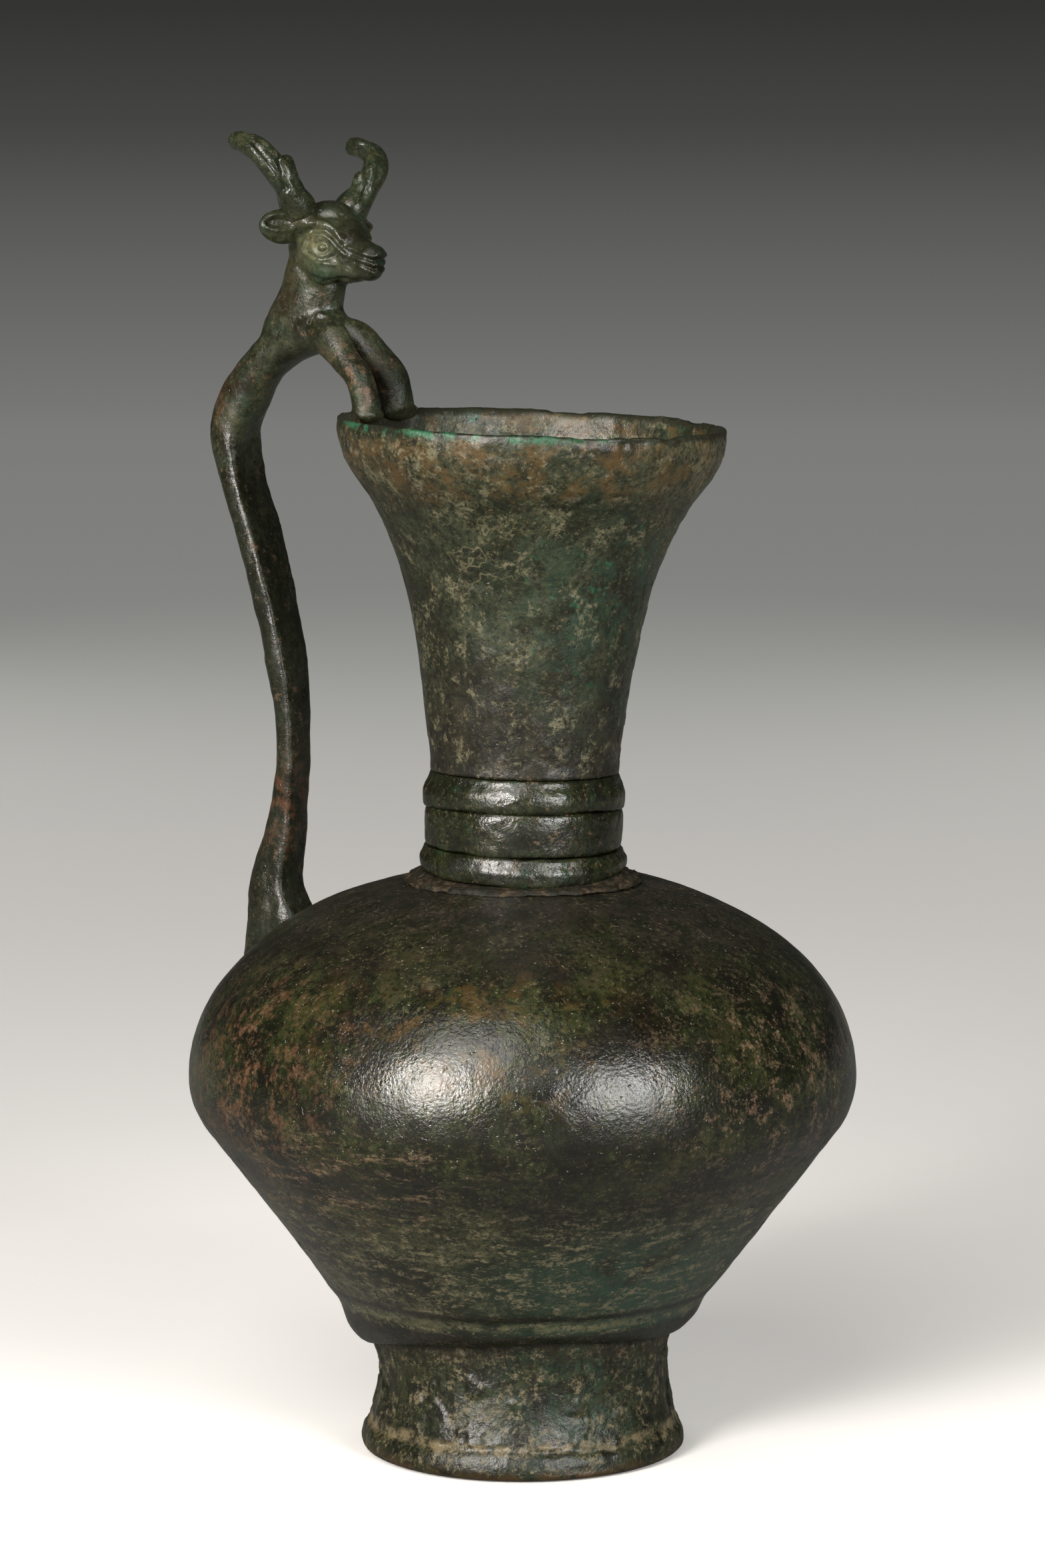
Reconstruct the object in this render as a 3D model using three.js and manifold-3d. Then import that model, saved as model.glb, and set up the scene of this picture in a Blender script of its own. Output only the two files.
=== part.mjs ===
// A bronze jug with a stag handle: a wide belly on a hollow foot, a flared neck with a banded collar, and a
// handle cast as a stag that rests its forelegs on the rim. Millimetres, +Z up, origin under the foot's centre.
// +X is to the right of the jug as it is shown, and -Y is towards the viewer.
import * as THREE from 'three';
import { mergeVertices } from 'three/addons/utils/BufferGeometryUtils.js';
import Module from 'manifold-3d';

const wasm = await Module();
wasm.setup();

// Clearance between neighbouring pieces, and facets round the jug
const FIT = 0.3;
const TURNS = 36;

// Foot: a hollow pedestal whose top is a spigot inside the belly's lip
const FOOT_HEIGHT = 30.8;
const FOOT_TOP_R = 36.3;
const FOOT_WAIST_IN = 1.4;
const FOOT_WAIST_Z = 21;
const FOOT_MOULDING_OUT = 2.9;
const FOOT_MOULDING_H = 8.4;
const FOOT_EDGE = 1.7;
const FOOT_WALL = 2.7;
const SPIGOT_H = 4.2;
const BASE_DISC_T = 2;
const FOOT_BEAD = 3;

// Belly: a cone that turns over a tight round into a full shoulder
const LIP_T = 3.8;
const LIP_ROUND = 2.2;
const BELLY_R = 80.7;
const BELLY_Z = 91.5;
const BELLY_ROUND = 17.3;
const SHOULDER_RISE = 50.5;
const SHOULDER_FULLNESS = 2.12;
const BELLY_WALL = 2.2;

// Neck: a straight tube under the collar, then a tapered and flared throat under an upright rim band
const TUBE_R = 21;
const TUBE_BELOW = 3.6;
const NECK_WALL = 2;
const THROAT_OUT = 1.7;
const NECK_TAPER = 9;
const NECK_FLARE = 12.5;
const FLARE_POWER = 4;
const FLARE_H = 72;
const RIM_BAND_H = 11;
const RIM_BAND_OUT = 2.7;
const RIM_WALL = 3.2;
const RIM_ROUND = 1;
const NECK_LEAN = THREE.MathUtils.degToRad(1.15);

// Collar: three bands stacked on a solder bead
const LOWER_BAND_H = 5.4;
const LOWER_BAND_OUT = 4;
const MIDDLE_BAND_H = 9.6;
const MIDDLE_BAND_OUT = 2.9;
const UPPER_BAND_H = 7.6;
const UPPER_BAND_OUT = 3.3;
const BAND_EDGE = 1.1;
const NECK_BEAD_OUT = 8;
const NECK_BEAD_H = 1.6;

// Handle: it stands behind the jug's left side, in one upright plane through the jug's axis
const HANDLE_TURN = THREE.MathUtils.degToRad(146);
const HANDLE_REACH = 86.3;
const HANDLE_WAIST_REACH = 69.1;
const HANDLE_WAIST_UP = 26;
const HANDLE_SEAT_IN = 6;
const SHAFT_T = 7.2;
const SHAFT_WAIST_T = 5.9;
const SHAFT_W = 13.4;
const SHAFT_WAIST_W = 9;
const SHAFT_SQUARE = 4;
const CALF_T = 8.8;
const CALF_OUT = 2.4;
const CALF_DOWN = 19.5;
const HOCK_T = 12.4;
const HOCK_UP = 41;
const HAUNCH_T = 19;
const HAUNCH_W = 12.6;
const HAUNCH_UP = 27;
const HAUNCH_SINK = 1.6;
const TAIL_T = 5;
const TAIL_UP = 5;
const TAIL_OUT = 3.4;
const SOLDER_T = 1.1;
const SOLDER_SPREAD = 1.5;

// Stag: sizes of the animal that the top of the handle becomes
const TORSO_T = 11.8;
const TORSO_W = 13;
const CHEST_UP = 22;
const LEG_REACH = 17;
const LEG_T = 8;
const LEG_W = 8.8;
const RIGHT_LEG_SPREAD = 7.5;
const LEFT_LEG_SPREAD = 6.9;
const RIGHT_LEG_SLIM = 0.78;
const LEFT_LEG_SLIM = 1.02;
const BEND_DOWN = 4;
const BACK_IN = 6;
const HOOF_IN = 1.6;
const STAG_NECK_T = 17;
const STAG_NECK_W = 12.8;
const STAG_NECK_BACK = 7;
const HEAD_UP = 41.5;
const HEAD_YAW = THREE.MathUtils.degToRad(12);
const SKULL_H = 19.6;
const SKULL_W = 15.6;
const SKULL_BACK = 7.5;
const MUZZLE_H = 8.8;
const MUZZLE_W = 7.8;
const CHIN_UP = 1.1;
const MUZZLE_REACH = 20.6;
const EAR_REACH = 19.5;
const EAR_H = 9.2;
const EAR_T = 4.4;
const EAR_HOLLOW = 1.4;
const EAR_BACK = 1.2;
const EYE_R = 2.4;
const EYE_LINE = 0.9;
const EYE_AHEAD = 6.6;
const EYE_TURN = THREE.MathUtils.degToRad(20);

// Antlers: tapered beams that sweep out, up and back, each with a lobe along it, a short tine and a tenon
const ANTLER_SPREAD = 20;
const ANTLER_RISE = 25.8;
const LEFT_ANTLER_DROP = 1.7;
const ANTLER_SWEEP = 9.8;
const ANTLER_AHEAD = 2;
const ANTLER_ROOT_D = 8.4;
const ANTLER_D = 5.6;
const ANTLER_TIP_D = 4.2;
const LOBE_D = 4;
const LOBE_AHEAD = 0.9;
const LOBE_IN = 1.9;
const LOBE_UP = 1.5;
const TINE_D = 4.8;
const TINE_AHEAD = 1.6;
const TENON_D = 3;
const TENON_L = 3.4;

const BRONZE = { color: 0x2f3a2a, roughness: 0.42, metalness: 0.75 };
const GREEN_BRONZE = { color: 0x3f5240, roughness: 0.45, metalness: 0.65 };
const SOLDER = { color: 0x7a6044, roughness: 0.8, metalness: 0.3 };

// Solids, booleans and meshes

function toSolid(geometry) {
  const bare = geometry.clone();
  bare.deleteAttribute('normal');
  bare.deleteAttribute('uv');
  const merged = mergeVertices(bare, 1e-4);
  const vertProperties = Float32Array.from(merged.attributes.position.array);
  const triVerts = Uint32Array.from(merged.index.array);
  const mesh = new wasm.Mesh({ numProp: 3, vertProperties, triVerts });
  mesh.merge();
  return new wasm.Manifold(mesh);
}

function moved(solid, matrix) {
  return solid.transform(matrix.toArray());
}

function union(solids) {
  return solids.reduce((whole, solid) => whole.add(solid));
}

function node(name, solid, look) {
  const { vertProperties, triVerts } = solid.getMesh();
  const geometry = new THREE.BufferGeometry();
  geometry.setAttribute('position', new THREE.BufferAttribute(vertProperties, 3));
  geometry.setIndex(new THREE.BufferAttribute(triVerts, 1));
  geometry.computeVertexNormals();
  const mesh = new THREE.Mesh(geometry, new THREE.MeshStandardMaterial(look));
  mesh.name = name;
  return mesh;
}

// Profiles are lists of (radius, height) that run up the outside and down the inside

const rz = (r, z) => new THREE.Vector2(r, z);

function revolve(profile) {
  return toSolid(new THREE.LatheGeometry(profile, TURNS).rotateX(Math.PI / 2));
}

function revolveRing(profile) {
  return revolve([...profile, profile[0]]);
}

function revolveToAxis(profile) {
  const first = profile[0];
  const last = profile[profile.length - 1];
  return revolve([rz(0, first.y), ...profile, rz(0, last.y)]);
}

function arc(centre, radius, fromDeg, toDeg, steps) {
  const points = [];
  for (let i = 0; i <= steps; i += 1) {
    const angle = THREE.MathUtils.degToRad(fromDeg + ((toDeg - fromDeg) * i) / steps);
    points.push(rz(centre.x + radius * Math.cos(angle), centre.y + radius * Math.sin(angle)));
  }
  return points;
}

// Moves a profile sideways, to the right of its direction of travel, which is outwards on the outside
function offset(profile, distance, closed = false) {
  const count = profile.length;
  const side = (from, to) => rz(to.y - from.y, from.x - to.x).normalize();
  return profile.map((point, i) => {
    const hasBefore = closed || i > 0;
    const hasAfter = closed || i < count - 1;
    const before = hasBefore ? side(profile[(i + count - 1) % count], point) : null;
    const after = hasAfter ? side(point, profile[(i + 1) % count]) : null;
    const a = before ?? after;
    const b = after ?? before;
    const middle = a.clone().add(b).normalize();
    return point.clone().addScaledVector(middle, distance / Math.max(0.5, middle.dot(a)));
  });
}

// A closed tube along a smooth path through stations. A station has a centre, a thickness t across the path, a
// width w along the side direction, and a squareness for the inner half of its section, where 2 is an ellipse.
function loft(stations, { side, sectors = 12, stepsEach = 2, grow = 0 }) {
  const path = new THREE.CatmullRomCurve3(stations.map((station) => station.at));
  const sizeOf = (station) => new THREE.Vector3(station.t, station.w, station.square ?? 2);
  const sizes = new THREE.CatmullRomCurve3(stations.map(sizeOf));
  const rings = (stations.length - 1) * stepsEach;
  const positions = [];
  const index = [];
  for (let i = 0; i <= rings; i += 1) {
    const centre = path.getPoint(i / rings);
    const along = path.getTangent(i / rings);
    const across = side.clone().addScaledVector(along, -side.dot(along)).normalize();
    const out = across.clone().cross(along);
    const size = sizes.getPoint(i / rings);
    for (let k = 0; k < sectors; k += 1) {
      const angle = (2 * Math.PI * k) / sectors;
      const power = 2 / (Math.cos(angle) < 0 ? size.z : 2);
      const curve = (value) => Math.sign(value) * Math.abs(value) ** power;
      const point = centre.clone();
      point.addScaledVector(out, (size.x / 2 + grow) * curve(Math.cos(angle)));
      point.addScaledVector(across, (size.y / 2 + grow) * curve(Math.sin(angle)));
      positions.push(...point);
    }
  }
  for (let i = 0; i < rings; i += 1) {
    for (let k = 0; k < sectors; k += 1) {
      const a = i * sectors + k;
      const b = i * sectors + ((k + 1) % sectors);
      index.push(a, b, b + sectors, a, b + sectors, a + sectors);
    }
  }
  const startCentre = positions.length / 3;
  positions.push(...path.getPoint(0));
  positions.push(...path.getPoint(1));
  const lastRing = rings * sectors;
  for (let k = 0; k < sectors; k += 1) {
    const next = (k + 1) % sectors;
    index.push(startCentre, next, k);
    index.push(startCentre + 1, lastRing + k, lastRing + next);
  }
  const geometry = new THREE.BufferGeometry();
  geometry.setAttribute('position', new THREE.Float32BufferAttribute(positions, 3));
  geometry.setIndex(index);
  return toSolid(geometry);
}

// Belly and shoulder

const lipBoreR = FOOT_TOP_R + FIT;
const lipR = lipBoreR + LIP_T;
const lipCentre = rz(lipR - LIP_ROUND, FOOT_HEIGHT + LIP_ROUND);
const turnCentre = rz(BELLY_R - BELLY_ROUND, BELLY_Z);

// The cone is the straight line that touches the lip's round and the belly's round
const centres = turnCentre.clone().sub(lipCentre);
const coneLean = centres.angle() - Math.acos((LIP_ROUND - BELLY_ROUND) / centres.length());
const coneDeg = THREE.MathUtils.radToDeg(coneLean);

function shoulderHeight(r) {
  const share = (r / BELLY_R) ** SHOULDER_FULLNESS;
  return BELLY_Z + SHOULDER_RISE * (1 - share) ** (1 / SHOULDER_FULLNESS);
}

function shoulderProfile(endR, steps) {
  const points = [];
  const endAngle = Math.acos((endR / BELLY_R) ** (SHOULDER_FULLNESS / 2));
  for (let i = 1; i <= steps; i += 1) {
    const angle = (endAngle * i) / steps;
    const r = BELLY_R * Math.cos(angle) ** (2 / SHOULDER_FULLNESS);
    points.push(rz(r, shoulderHeight(r)));
  }
  return points;
}

const neckHoleR = TUBE_R + FIT;
const bellyTurn = (turnSteps, shoulderSteps) => [
  ...arc(turnCentre, BELLY_ROUND, coneDeg, 0, turnSteps),
  ...shoulderProfile(neckHoleR, shoulderSteps),
];
const bellyOutside = [...arc(lipCentre, LIP_ROUND, -90, coneDeg, 3), ...bellyTurn(4, 9)];
const ledgeZ = FOOT_HEIGHT + SPIGOT_H;

// Radius of the cone's inner face at a height
function coneInnerR(z) {
  const reach = turnCentre.x * Math.cos(coneLean) + turnCentre.y * Math.sin(coneLean) + BELLY_ROUND - BELLY_WALL;
  return (reach - z * Math.sin(coneLean)) / Math.cos(coneLean);
}

function makeBody() {
  const inside = offset(bellyTurn(3, 7), -BELLY_WALL).reverse();
  inside[0] = rz(neckHoleR, shoulderHeight(neckHoleR) - BELLY_WALL);
  const seat = [rz(coneInnerR(ledgeZ), ledgeZ), rz(lipBoreR, ledgeZ), rz(lipBoreR, FOOT_HEIGHT)];
  return revolveRing([...bellyOutside, ...inside, ...seat]);
}

function makeBaseDisc() {
  const bottom = ledgeZ + FIT;
  const top = bottom + BASE_DISC_T;
  const edge = [rz(coneInnerR(bottom) - 2 * FIT, bottom), rz(coneInnerR(top) - 2 * FIT, top)];
  return revolveToAxis(edge);
}

// Foot

const footBaseR = FOOT_TOP_R + FOOT_MOULDING_OUT;
const footWaistR = FOOT_TOP_R - FOOT_WAIST_IN;
const footBoreTopR = FOOT_TOP_R - FOOT_WALL;

function makeFoot() {
  const mouldingTop = rz(FOOT_TOP_R + FOOT_EDGE / 4, FOOT_MOULDING_H);
  const sweep = new THREE.SplineCurve([
    mouldingTop,
    rz(footWaistR, FOOT_WAIST_Z),
    rz(FOOT_TOP_R, FOOT_HEIGHT - FIT),
  ]);
  const outside = [
    rz(footBaseR - FOOT_EDGE, 0),
    rz(footBaseR - FOOT_EDGE / 3, FOOT_EDGE / 2),
    rz(footBaseR, FOOT_EDGE * 1.5),
    rz(footBaseR - FOOT_EDGE / 3, FOOT_MOULDING_H * 0.6),
    ...sweep.getPoints(6),
    rz(FOOT_TOP_R, ledgeZ),
  ];
  const inside = [
    rz(footBoreTopR, ledgeZ),
    rz(footWaistR - FOOT_WALL, FOOT_WAIST_Z),
    rz(footBoreTopR, FOOT_MOULDING_H / 2),
    rz(footBoreTopR, 0),
  ];
  return revolveRing([...outside, ...inside]);
}

// The bead fills the corner between the foot's bore and the floor disc
function makeFootSolder() {
  const top = ledgeZ;
  const boreAt = (z) => {
    const share = (z - FOOT_WAIST_Z) / (ledgeZ - FOOT_WAIST_Z);
    return footWaistR - FOOT_WALL + FOOT_WAIST_IN * share - FIT;
  };
  const low = top - FOOT_BEAD;
  return revolveRing([
    rz(boreAt(low), low),
    rz(boreAt(top), top),
    rz(boreAt(top) - FOOT_BEAD, top),
    rz(boreAt(low) - FOOT_BEAD / 4, low + FOOT_BEAD / 4),
  ]);
}

// Neck and collar share one leaning frame, whose origin is where the tube leaves the shoulder

const neckFoot = new THREE.Vector3(0, 0, shoulderHeight(neckHoleR));
const neckFrame = new THREE.Matrix4().makeRotationY(NECK_LEAN).setPosition(neckFoot);
const collarSeat = NECK_BEAD_H + 2 * FIT;
const lowerBandZ = collarSeat;
const middleBandZ = lowerBandZ + LOWER_BAND_H + FIT;
const upperBandZ = middleBandZ + MIDDLE_BAND_H + FIT;
const throatZ = upperBandZ + UPPER_BAND_H + FIT;
const lowerBandR = TUBE_R + LOWER_BAND_OUT;
const middleBandR = TUBE_R + MIDDLE_BAND_OUT;
const upperBandR = TUBE_R + UPPER_BAND_OUT;
const neckBeadR = TUBE_R + NECK_BEAD_OUT;
const throatR = TUBE_R + THROAT_OUT;
const flareTopR = throatR + NECK_TAPER + NECK_FLARE;
const rimR = flareTopR + RIM_BAND_OUT;
const rimZ = throatZ + FLARE_H + RIM_BAND_H;

function throat(share) {
  const r = throatR + NECK_TAPER * share + NECK_FLARE * share ** FLARE_POWER;
  return rz(r, throatZ + FLARE_H * share);
}

function neckProfile() {
  const shares = [0, 0.3, 0.5, 0.65, 0.77, 0.87, 0.95, 1];
  const outside = shares.map(throat);
  const bandFoot = rz(flareTopR + RIM_BAND_OUT / 3, throatZ + FLARE_H + RIM_ROUND);
  const rimOutside = [bandFoot, rz(rimR, rimZ - RIM_ROUND), rz(rimR - RIM_ROUND, rimZ)];
  const rimInside = [rz(rimR - RIM_WALL + RIM_ROUND / 2, rimZ), rz(rimR - RIM_WALL, rimZ - RIM_ROUND)];
  const inside = offset(outside, -NECK_WALL).slice(1, -1).reverse();
  const tubeEnd = -BELLY_WALL - TUBE_BELOW;
  const tubeInside = [rz(TUBE_R - NECK_WALL, throatZ), rz(TUBE_R - NECK_WALL, tubeEnd)];
  const tubeOutside = [rz(TUBE_R, tubeEnd), rz(TUBE_R, throatZ)];
  return [...tubeOutside, ...outside, ...rimOutside, ...rimInside, ...inside, ...tubeInside];
}

// A band is a rounded ring round the tube
function makeBand(z, height, topR, bottomR) {
  const bore = TUBE_R + FIT;
  return revolveRing([
    rz(bore, z),
    rz(bottomR - BAND_EDGE, z),
    rz(bottomR, z + BAND_EDGE),
    rz((topR + bottomR) / 2, z + height / 2),
    rz(topR, z + height - BAND_EDGE),
    rz(topR - BAND_EDGE, z + height),
    rz(bore, z + height),
  ]);
}

// The bead lies on the shoulder, so it stands upright and is cut by the leaning collar above it
function makeNeckSolder() {
  const bore = neckHoleR + FIT;
  const high = neckFoot.z + collarSeat + NECK_BEAD_H;
  const lift = (r) => shoulderHeight(r) + FIT;
  const bead = revolveRing([
    rz(bore, lift(bore)),
    rz((bore + neckBeadR) / 2, lift((bore + neckBeadR) / 2)),
    rz(neckBeadR, lift(neckBeadR)),
    rz(lowerBandR + FIT, neckFoot.z + collarSeat),
    rz(lowerBandR - BAND_EDGE, high),
    rz(bore, high),
  ]);
  const above = collarSeat - FIT;
  const cutter = revolveToAxis([rz(neckBeadR * 2, above), rz(neckBeadR * 2, above + neckBeadR)]);
  return bead.subtract(moved(cutter, neckFrame));
}

// Handle: points are (reach from the jug's axis, sideways, height), in a frame turned to the handle's plane

const handleFrame = new THREE.Matrix4().makeRotationZ(HANDLE_TURN);
const toHandle = handleFrame.clone().invert();
const SIDE = new THREE.Vector3(0, 1, 0);
const at = (reach, side, z) => new THREE.Vector3(reach, side, z);

const rimCentre = new THREE.Vector3(0, 0, rimZ).applyMatrix4(neckFrame).applyMatrix4(toHandle);
const rimTop = rimCentre.z;
const hoofReach = rimR - RIM_WALL / 2 + rimCentre.x - HOOF_IN;
const chest = at(hoofReach + LEG_REACH, 0, rimTop + CHEST_UP);
const skull = at(hoofReach + LEG_REACH, 0, rimTop + HEAD_UP);
const headFrame = new THREE.Matrix4().makeRotationZ(-HEAD_YAW).setPosition(skull);

// From the haunch on the shoulder, up the shaft, round the bend and along the stag's back to its chest
function shaftStations() {
  const seatReach = BELLY_R - HANDLE_SEAT_IN;
  const waistZ = neckFoot.z + HANDLE_WAIST_UP;
  const bend = at(HANDLE_REACH, 0, rimTop - BEND_DOWN);
  const back = new THREE.QuadraticBezierCurve3(bend, at(HANDLE_REACH - BACK_IN, 0, rimTop + CHEST_UP * 0.7), chest);
  const square = SHAFT_SQUARE;
  const shaft = { t: SHAFT_T, w: SHAFT_W, square };
  const waist = { t: SHAFT_WAIST_T, w: SHAFT_WAIST_W, square };
  const reachAt = (share) => THREE.MathUtils.lerp(HANDLE_WAIST_REACH, HANDLE_REACH, share);
  const heightAt = (share) => THREE.MathUtils.lerp(waistZ, rimTop, share);
  return [
    { at: at(seatReach + TAIL_OUT, 0, BELLY_Z + TAIL_UP), t: TAIL_T, w: HAUNCH_W / 2 },
    { at: at(seatReach + TAIL_OUT * 0.4, 0, BELLY_Z + HAUNCH_UP * 0.44), t: HAUNCH_T * 0.8, w: HAUNCH_W },
    { at: at(seatReach - HAUNCH_SINK, 0, BELLY_Z + HAUNCH_UP), t: HAUNCH_T, w: HAUNCH_W, square: 3 },
    { at: at(seatReach, 0, BELLY_Z + HOCK_UP), t: HOCK_T, w: HAUNCH_W * 0.9, square },
    { at: at(HANDLE_WAIST_REACH + CALF_OUT, 0, waistZ - CALF_DOWN), t: CALF_T, w: SHAFT_WAIST_W, square },
    { at: at(HANDLE_WAIST_REACH, 0, waistZ), ...waist },
    { at: at(reachAt(0.12), 0, heightAt(0.26)), ...shaft, w: SHAFT_W * 0.84 },
    { at: at(reachAt(0.5), 0, heightAt(0.57)), ...shaft },
    { at: at(reachAt(0.88), 0, heightAt(0.8)), ...shaft },
    { at: bend, ...shaft, t: SHAFT_T * 1.36 },
    { at: back.getPoint(0.25), t: TORSO_T, w: TORSO_W, square: 2.4 },
    { at: back.getPoint(0.5), t: TORSO_T * 0.86, w: TORSO_W },
    { at: back.getPoint(0.75), t: TORSO_T, w: TORSO_W },
    { at: chest, t: TORSO_T * 1.05, w: TORSO_W },
    { at: at(chest.x - TORSO_T / 2, 0, chest.z), t: TORSO_T * 0.55, w: TORSO_W * 0.6 },
  ];
}

function makeLeg(sign) {
  const slim = sign > 0 ? RIGHT_LEG_SLIM : LEFT_LEG_SLIM;
  const slimT = LEG_T * slim;
  const slimW = LEG_W * slim;
  const spread = (share) => sign * (sign > 0 ? RIGHT_LEG_SPREAD : LEFT_LEG_SPREAD) * share;
  const legX = (share) => hoofReach + LEG_REACH * share;
  const legZ = (share) => rimTop + CHEST_UP * share;
  return loft([
    { at: at(legX(0.9), spread(0.4), legZ(0.93)), t: LEG_T, w: LEG_W * 0.92 },
    { at: at(legX(0.62), spread(0.66), legZ(0.85)), t: LEG_T * 1.2, w: LEG_W },
    { at: at(legX(0.34), spread(0.8), legZ(0.64)), t: slimT * 1.14, w: slimW },
    { at: at(legX(0.09), spread(0.86), legZ(0.46)), t: slimT * 1.06, w: slimW },
    { at: at(legX(-0.01), spread(0.88), legZ(0.28)), t: slimT, w: slimW },
    { at: at(legX(-0.07), spread(0.9), legZ(-0.1)), t: slimT * 0.96, w: slimW },
  ], { side: SIDE, sectors: 10 });
}

function makeStagNeck() {
  const back = (share) => chest.x + STAG_NECK_BACK * share;
  const up = (share) => THREE.MathUtils.lerp(chest.z, skull.z, share);
  return loft([
    { at: at(back(2.2), 0, up(-0.4)), t: STAG_NECK_T * 0.46, w: STAG_NECK_W * 0.9 },
    { at: at(back(1.3), 0, up(-0.07)), t: STAG_NECK_T * 0.9, w: STAG_NECK_W },
    { at: at(back(0.56), 0, up(0.26)), t: STAG_NECK_T * 1.03, w: STAG_NECK_W },
    { at: at(back(0.28), 0, up(0.67)), t: STAG_NECK_T * 0.95, w: STAG_NECK_W },
    { at: at(back(0.14), 0, up(1)), t: STAG_NECK_T * 0.8, w: STAG_NECK_W * 0.9 },
  ], { side: SIDE });
}

// Head, in its own frame: forward is -X, the stag's right is +Y, and the origin is the middle of the skull
const ahead = (forward, side, up) => new THREE.Vector3(-forward, side, up);

function makeSkull(grow = 0) {
  const jaw = SKULL_H / 2;
  const muzzleUp = MUZZLE_H / 2 - jaw + CHIN_UP;
  const muzzle = (share) => MUZZLE_REACH * share;
  return loft([
    { at: ahead(-SKULL_BACK, 0, SKULL_H * 0.05), t: SKULL_H * 0.3, w: SKULL_W * 0.35 },
    { at: ahead(-SKULL_BACK * 0.8, 0, SKULL_H * 0.03), t: SKULL_H * 0.68, w: SKULL_W * 0.72 },
    { at: ahead(-SKULL_BACK * 0.27, 0, 0), t: SKULL_H * 0.97, w: SKULL_W * 0.98 },
    { at: ahead(SKULL_BACK * 0.33, 0, 0), t: SKULL_H, w: SKULL_W },
    { at: ahead(muzzle(0.36), 0, muzzleUp * 0.28), t: SKULL_H * 0.86, w: SKULL_W * 0.92 },
    { at: ahead(muzzle(0.58), 0, muzzleUp * 0.72), t: SKULL_H * 0.64, w: SKULL_W * 0.68 },
    { at: ahead(muzzle(0.76), 0, muzzleUp * 0.92), t: MUZZLE_H * 1.06, w: MUZZLE_W * 1.02 },
    { at: ahead(muzzle(0.9), 0, muzzleUp), t: MUZZLE_H, w: MUZZLE_W },
    { at: ahead(muzzle(1), 0, muzzleUp), t: MUZZLE_H * 0.5, w: MUZZLE_W * 0.5 },
  ], { side: SIDE, sectors: 14, grow });
}

// An ear is a flat paddle hollowed on its front
function makeEar(sign, grow = 0) {
  const reach = (EAR_REACH - SKULL_W / 4) / 2;
  const middle = ahead(-EAR_BACK, sign * (EAR_REACH - reach), SKULL_H / 4);
  const paddle = new THREE.SphereGeometry(1, 10, 8);
  const outer = paddle.clone().scale(EAR_T / 2 + grow, reach + grow, EAR_H / 2 + grow).translate(...middle);
  const dish = paddle.clone().scale(EAR_T / 2, reach - EAR_HOLLOW, EAR_H / 2 - EAR_HOLLOW).translate(...middle);
  dish.translate(-EAR_HOLLOW, sign * EAR_HOLLOW, 0);
  return { outer: toSolid(outer), dish: toSolid(dish) };
}

// A raised ring with a bead in it, on the side of the skull
function makeEye(sign) {
  const turn = new THREE.Matrix4().makeRotationZ(sign * EYE_TURN);
  const place = ahead(EYE_AHEAD, sign * SKULL_W * 0.43, 0);
  const ring = new THREE.TorusGeometry(EYE_R, EYE_LINE, 4, 10).rotateX(Math.PI / 2);
  const bead = new THREE.SphereGeometry(EYE_R - EYE_LINE, 6, 4);
  const set = (geometry) => toSolid(geometry.applyMatrix4(turn).translate(...place));
  return [set(ring), set(bead)];
}

// Antlers grow from sockets on top of the skull. The left one stands lower than the right

function antlerSpot(sign) {
  const rise = sign > 0 ? ANTLER_RISE : ANTLER_RISE - LEFT_ANTLER_DROP;
  return (forward, outShare, upShare) => ahead(forward, sign * ANTLER_SPREAD * outShare, rise * upShare);
}

function round(place, d) {
  return { at: place, t: d, w: d };
}

// The main beam is thick at the crown, then leans out and back

function antlerPath(sign) {
  const spot = antlerSpot(sign);
  const tip = sign > 0 ? 1 : 0.95;
  return [
    round(spot(ANTLER_AHEAD * 0.3, 0.26, 0.16), ANTLER_ROOT_D * 0.6),
    round(spot(ANTLER_AHEAD * 0.5, 0.42, 0.34), ANTLER_ROOT_D),
    round(spot(ANTLER_AHEAD * 0.8, 0.53, 0.44), (ANTLER_ROOT_D + ANTLER_D) / 2),
    round(spot(ANTLER_AHEAD, 0.68, 0.56), ANTLER_D),
    round(spot(ANTLER_AHEAD * 0.45, 0.86, 0.73), ANTLER_D * 0.9),
    round(spot(-ANTLER_SWEEP * 0.16, 0.98, 0.88), ANTLER_D * 0.85),
    round(spot(-ANTLER_SWEEP * 0.6, tip, 0.97), ANTLER_D * 0.85),
    round(spot(-ANTLER_SWEEP, tip, 0.99), ANTLER_TIP_D),
  ];
}

// A second lobe runs along the beam's upper side

function lobePath(sign) {
  const lift = ahead(LOBE_AHEAD, -sign * LOBE_IN, LOBE_UP);
  const taper = [0.75, 1, 1, 0.95, 0.75];
  const beam = antlerPath(sign).slice(2, 7);
  return beam.map((station, i) => round(station.at.clone().add(lift), LOBE_D * taper[i]));
}

// A short tine rises in front

function tinePath(sign) {
  const spot = antlerSpot(sign);
  const tipOut = sign > 0 ? 0.63 : 0.58;
  const tipUp = sign > 0 ? 0.86 : 0.74;
  return [
    round(spot(TINE_AHEAD * 0.5, 0.32, 0.2), TINE_D * 0.6),
    round(spot(TINE_AHEAD, tipOut - 0.14, tipUp - 0.38), TINE_D * 1.1),
    round(spot(TINE_AHEAD, tipOut - 0.05, tipUp - 0.2), TINE_D),
    round(spot(TINE_AHEAD, tipOut, tipUp - 0.06), TINE_D * 0.85),
    round(spot(TINE_AHEAD, tipOut, tipUp), TINE_D * 0.5),
  ];
}

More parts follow.
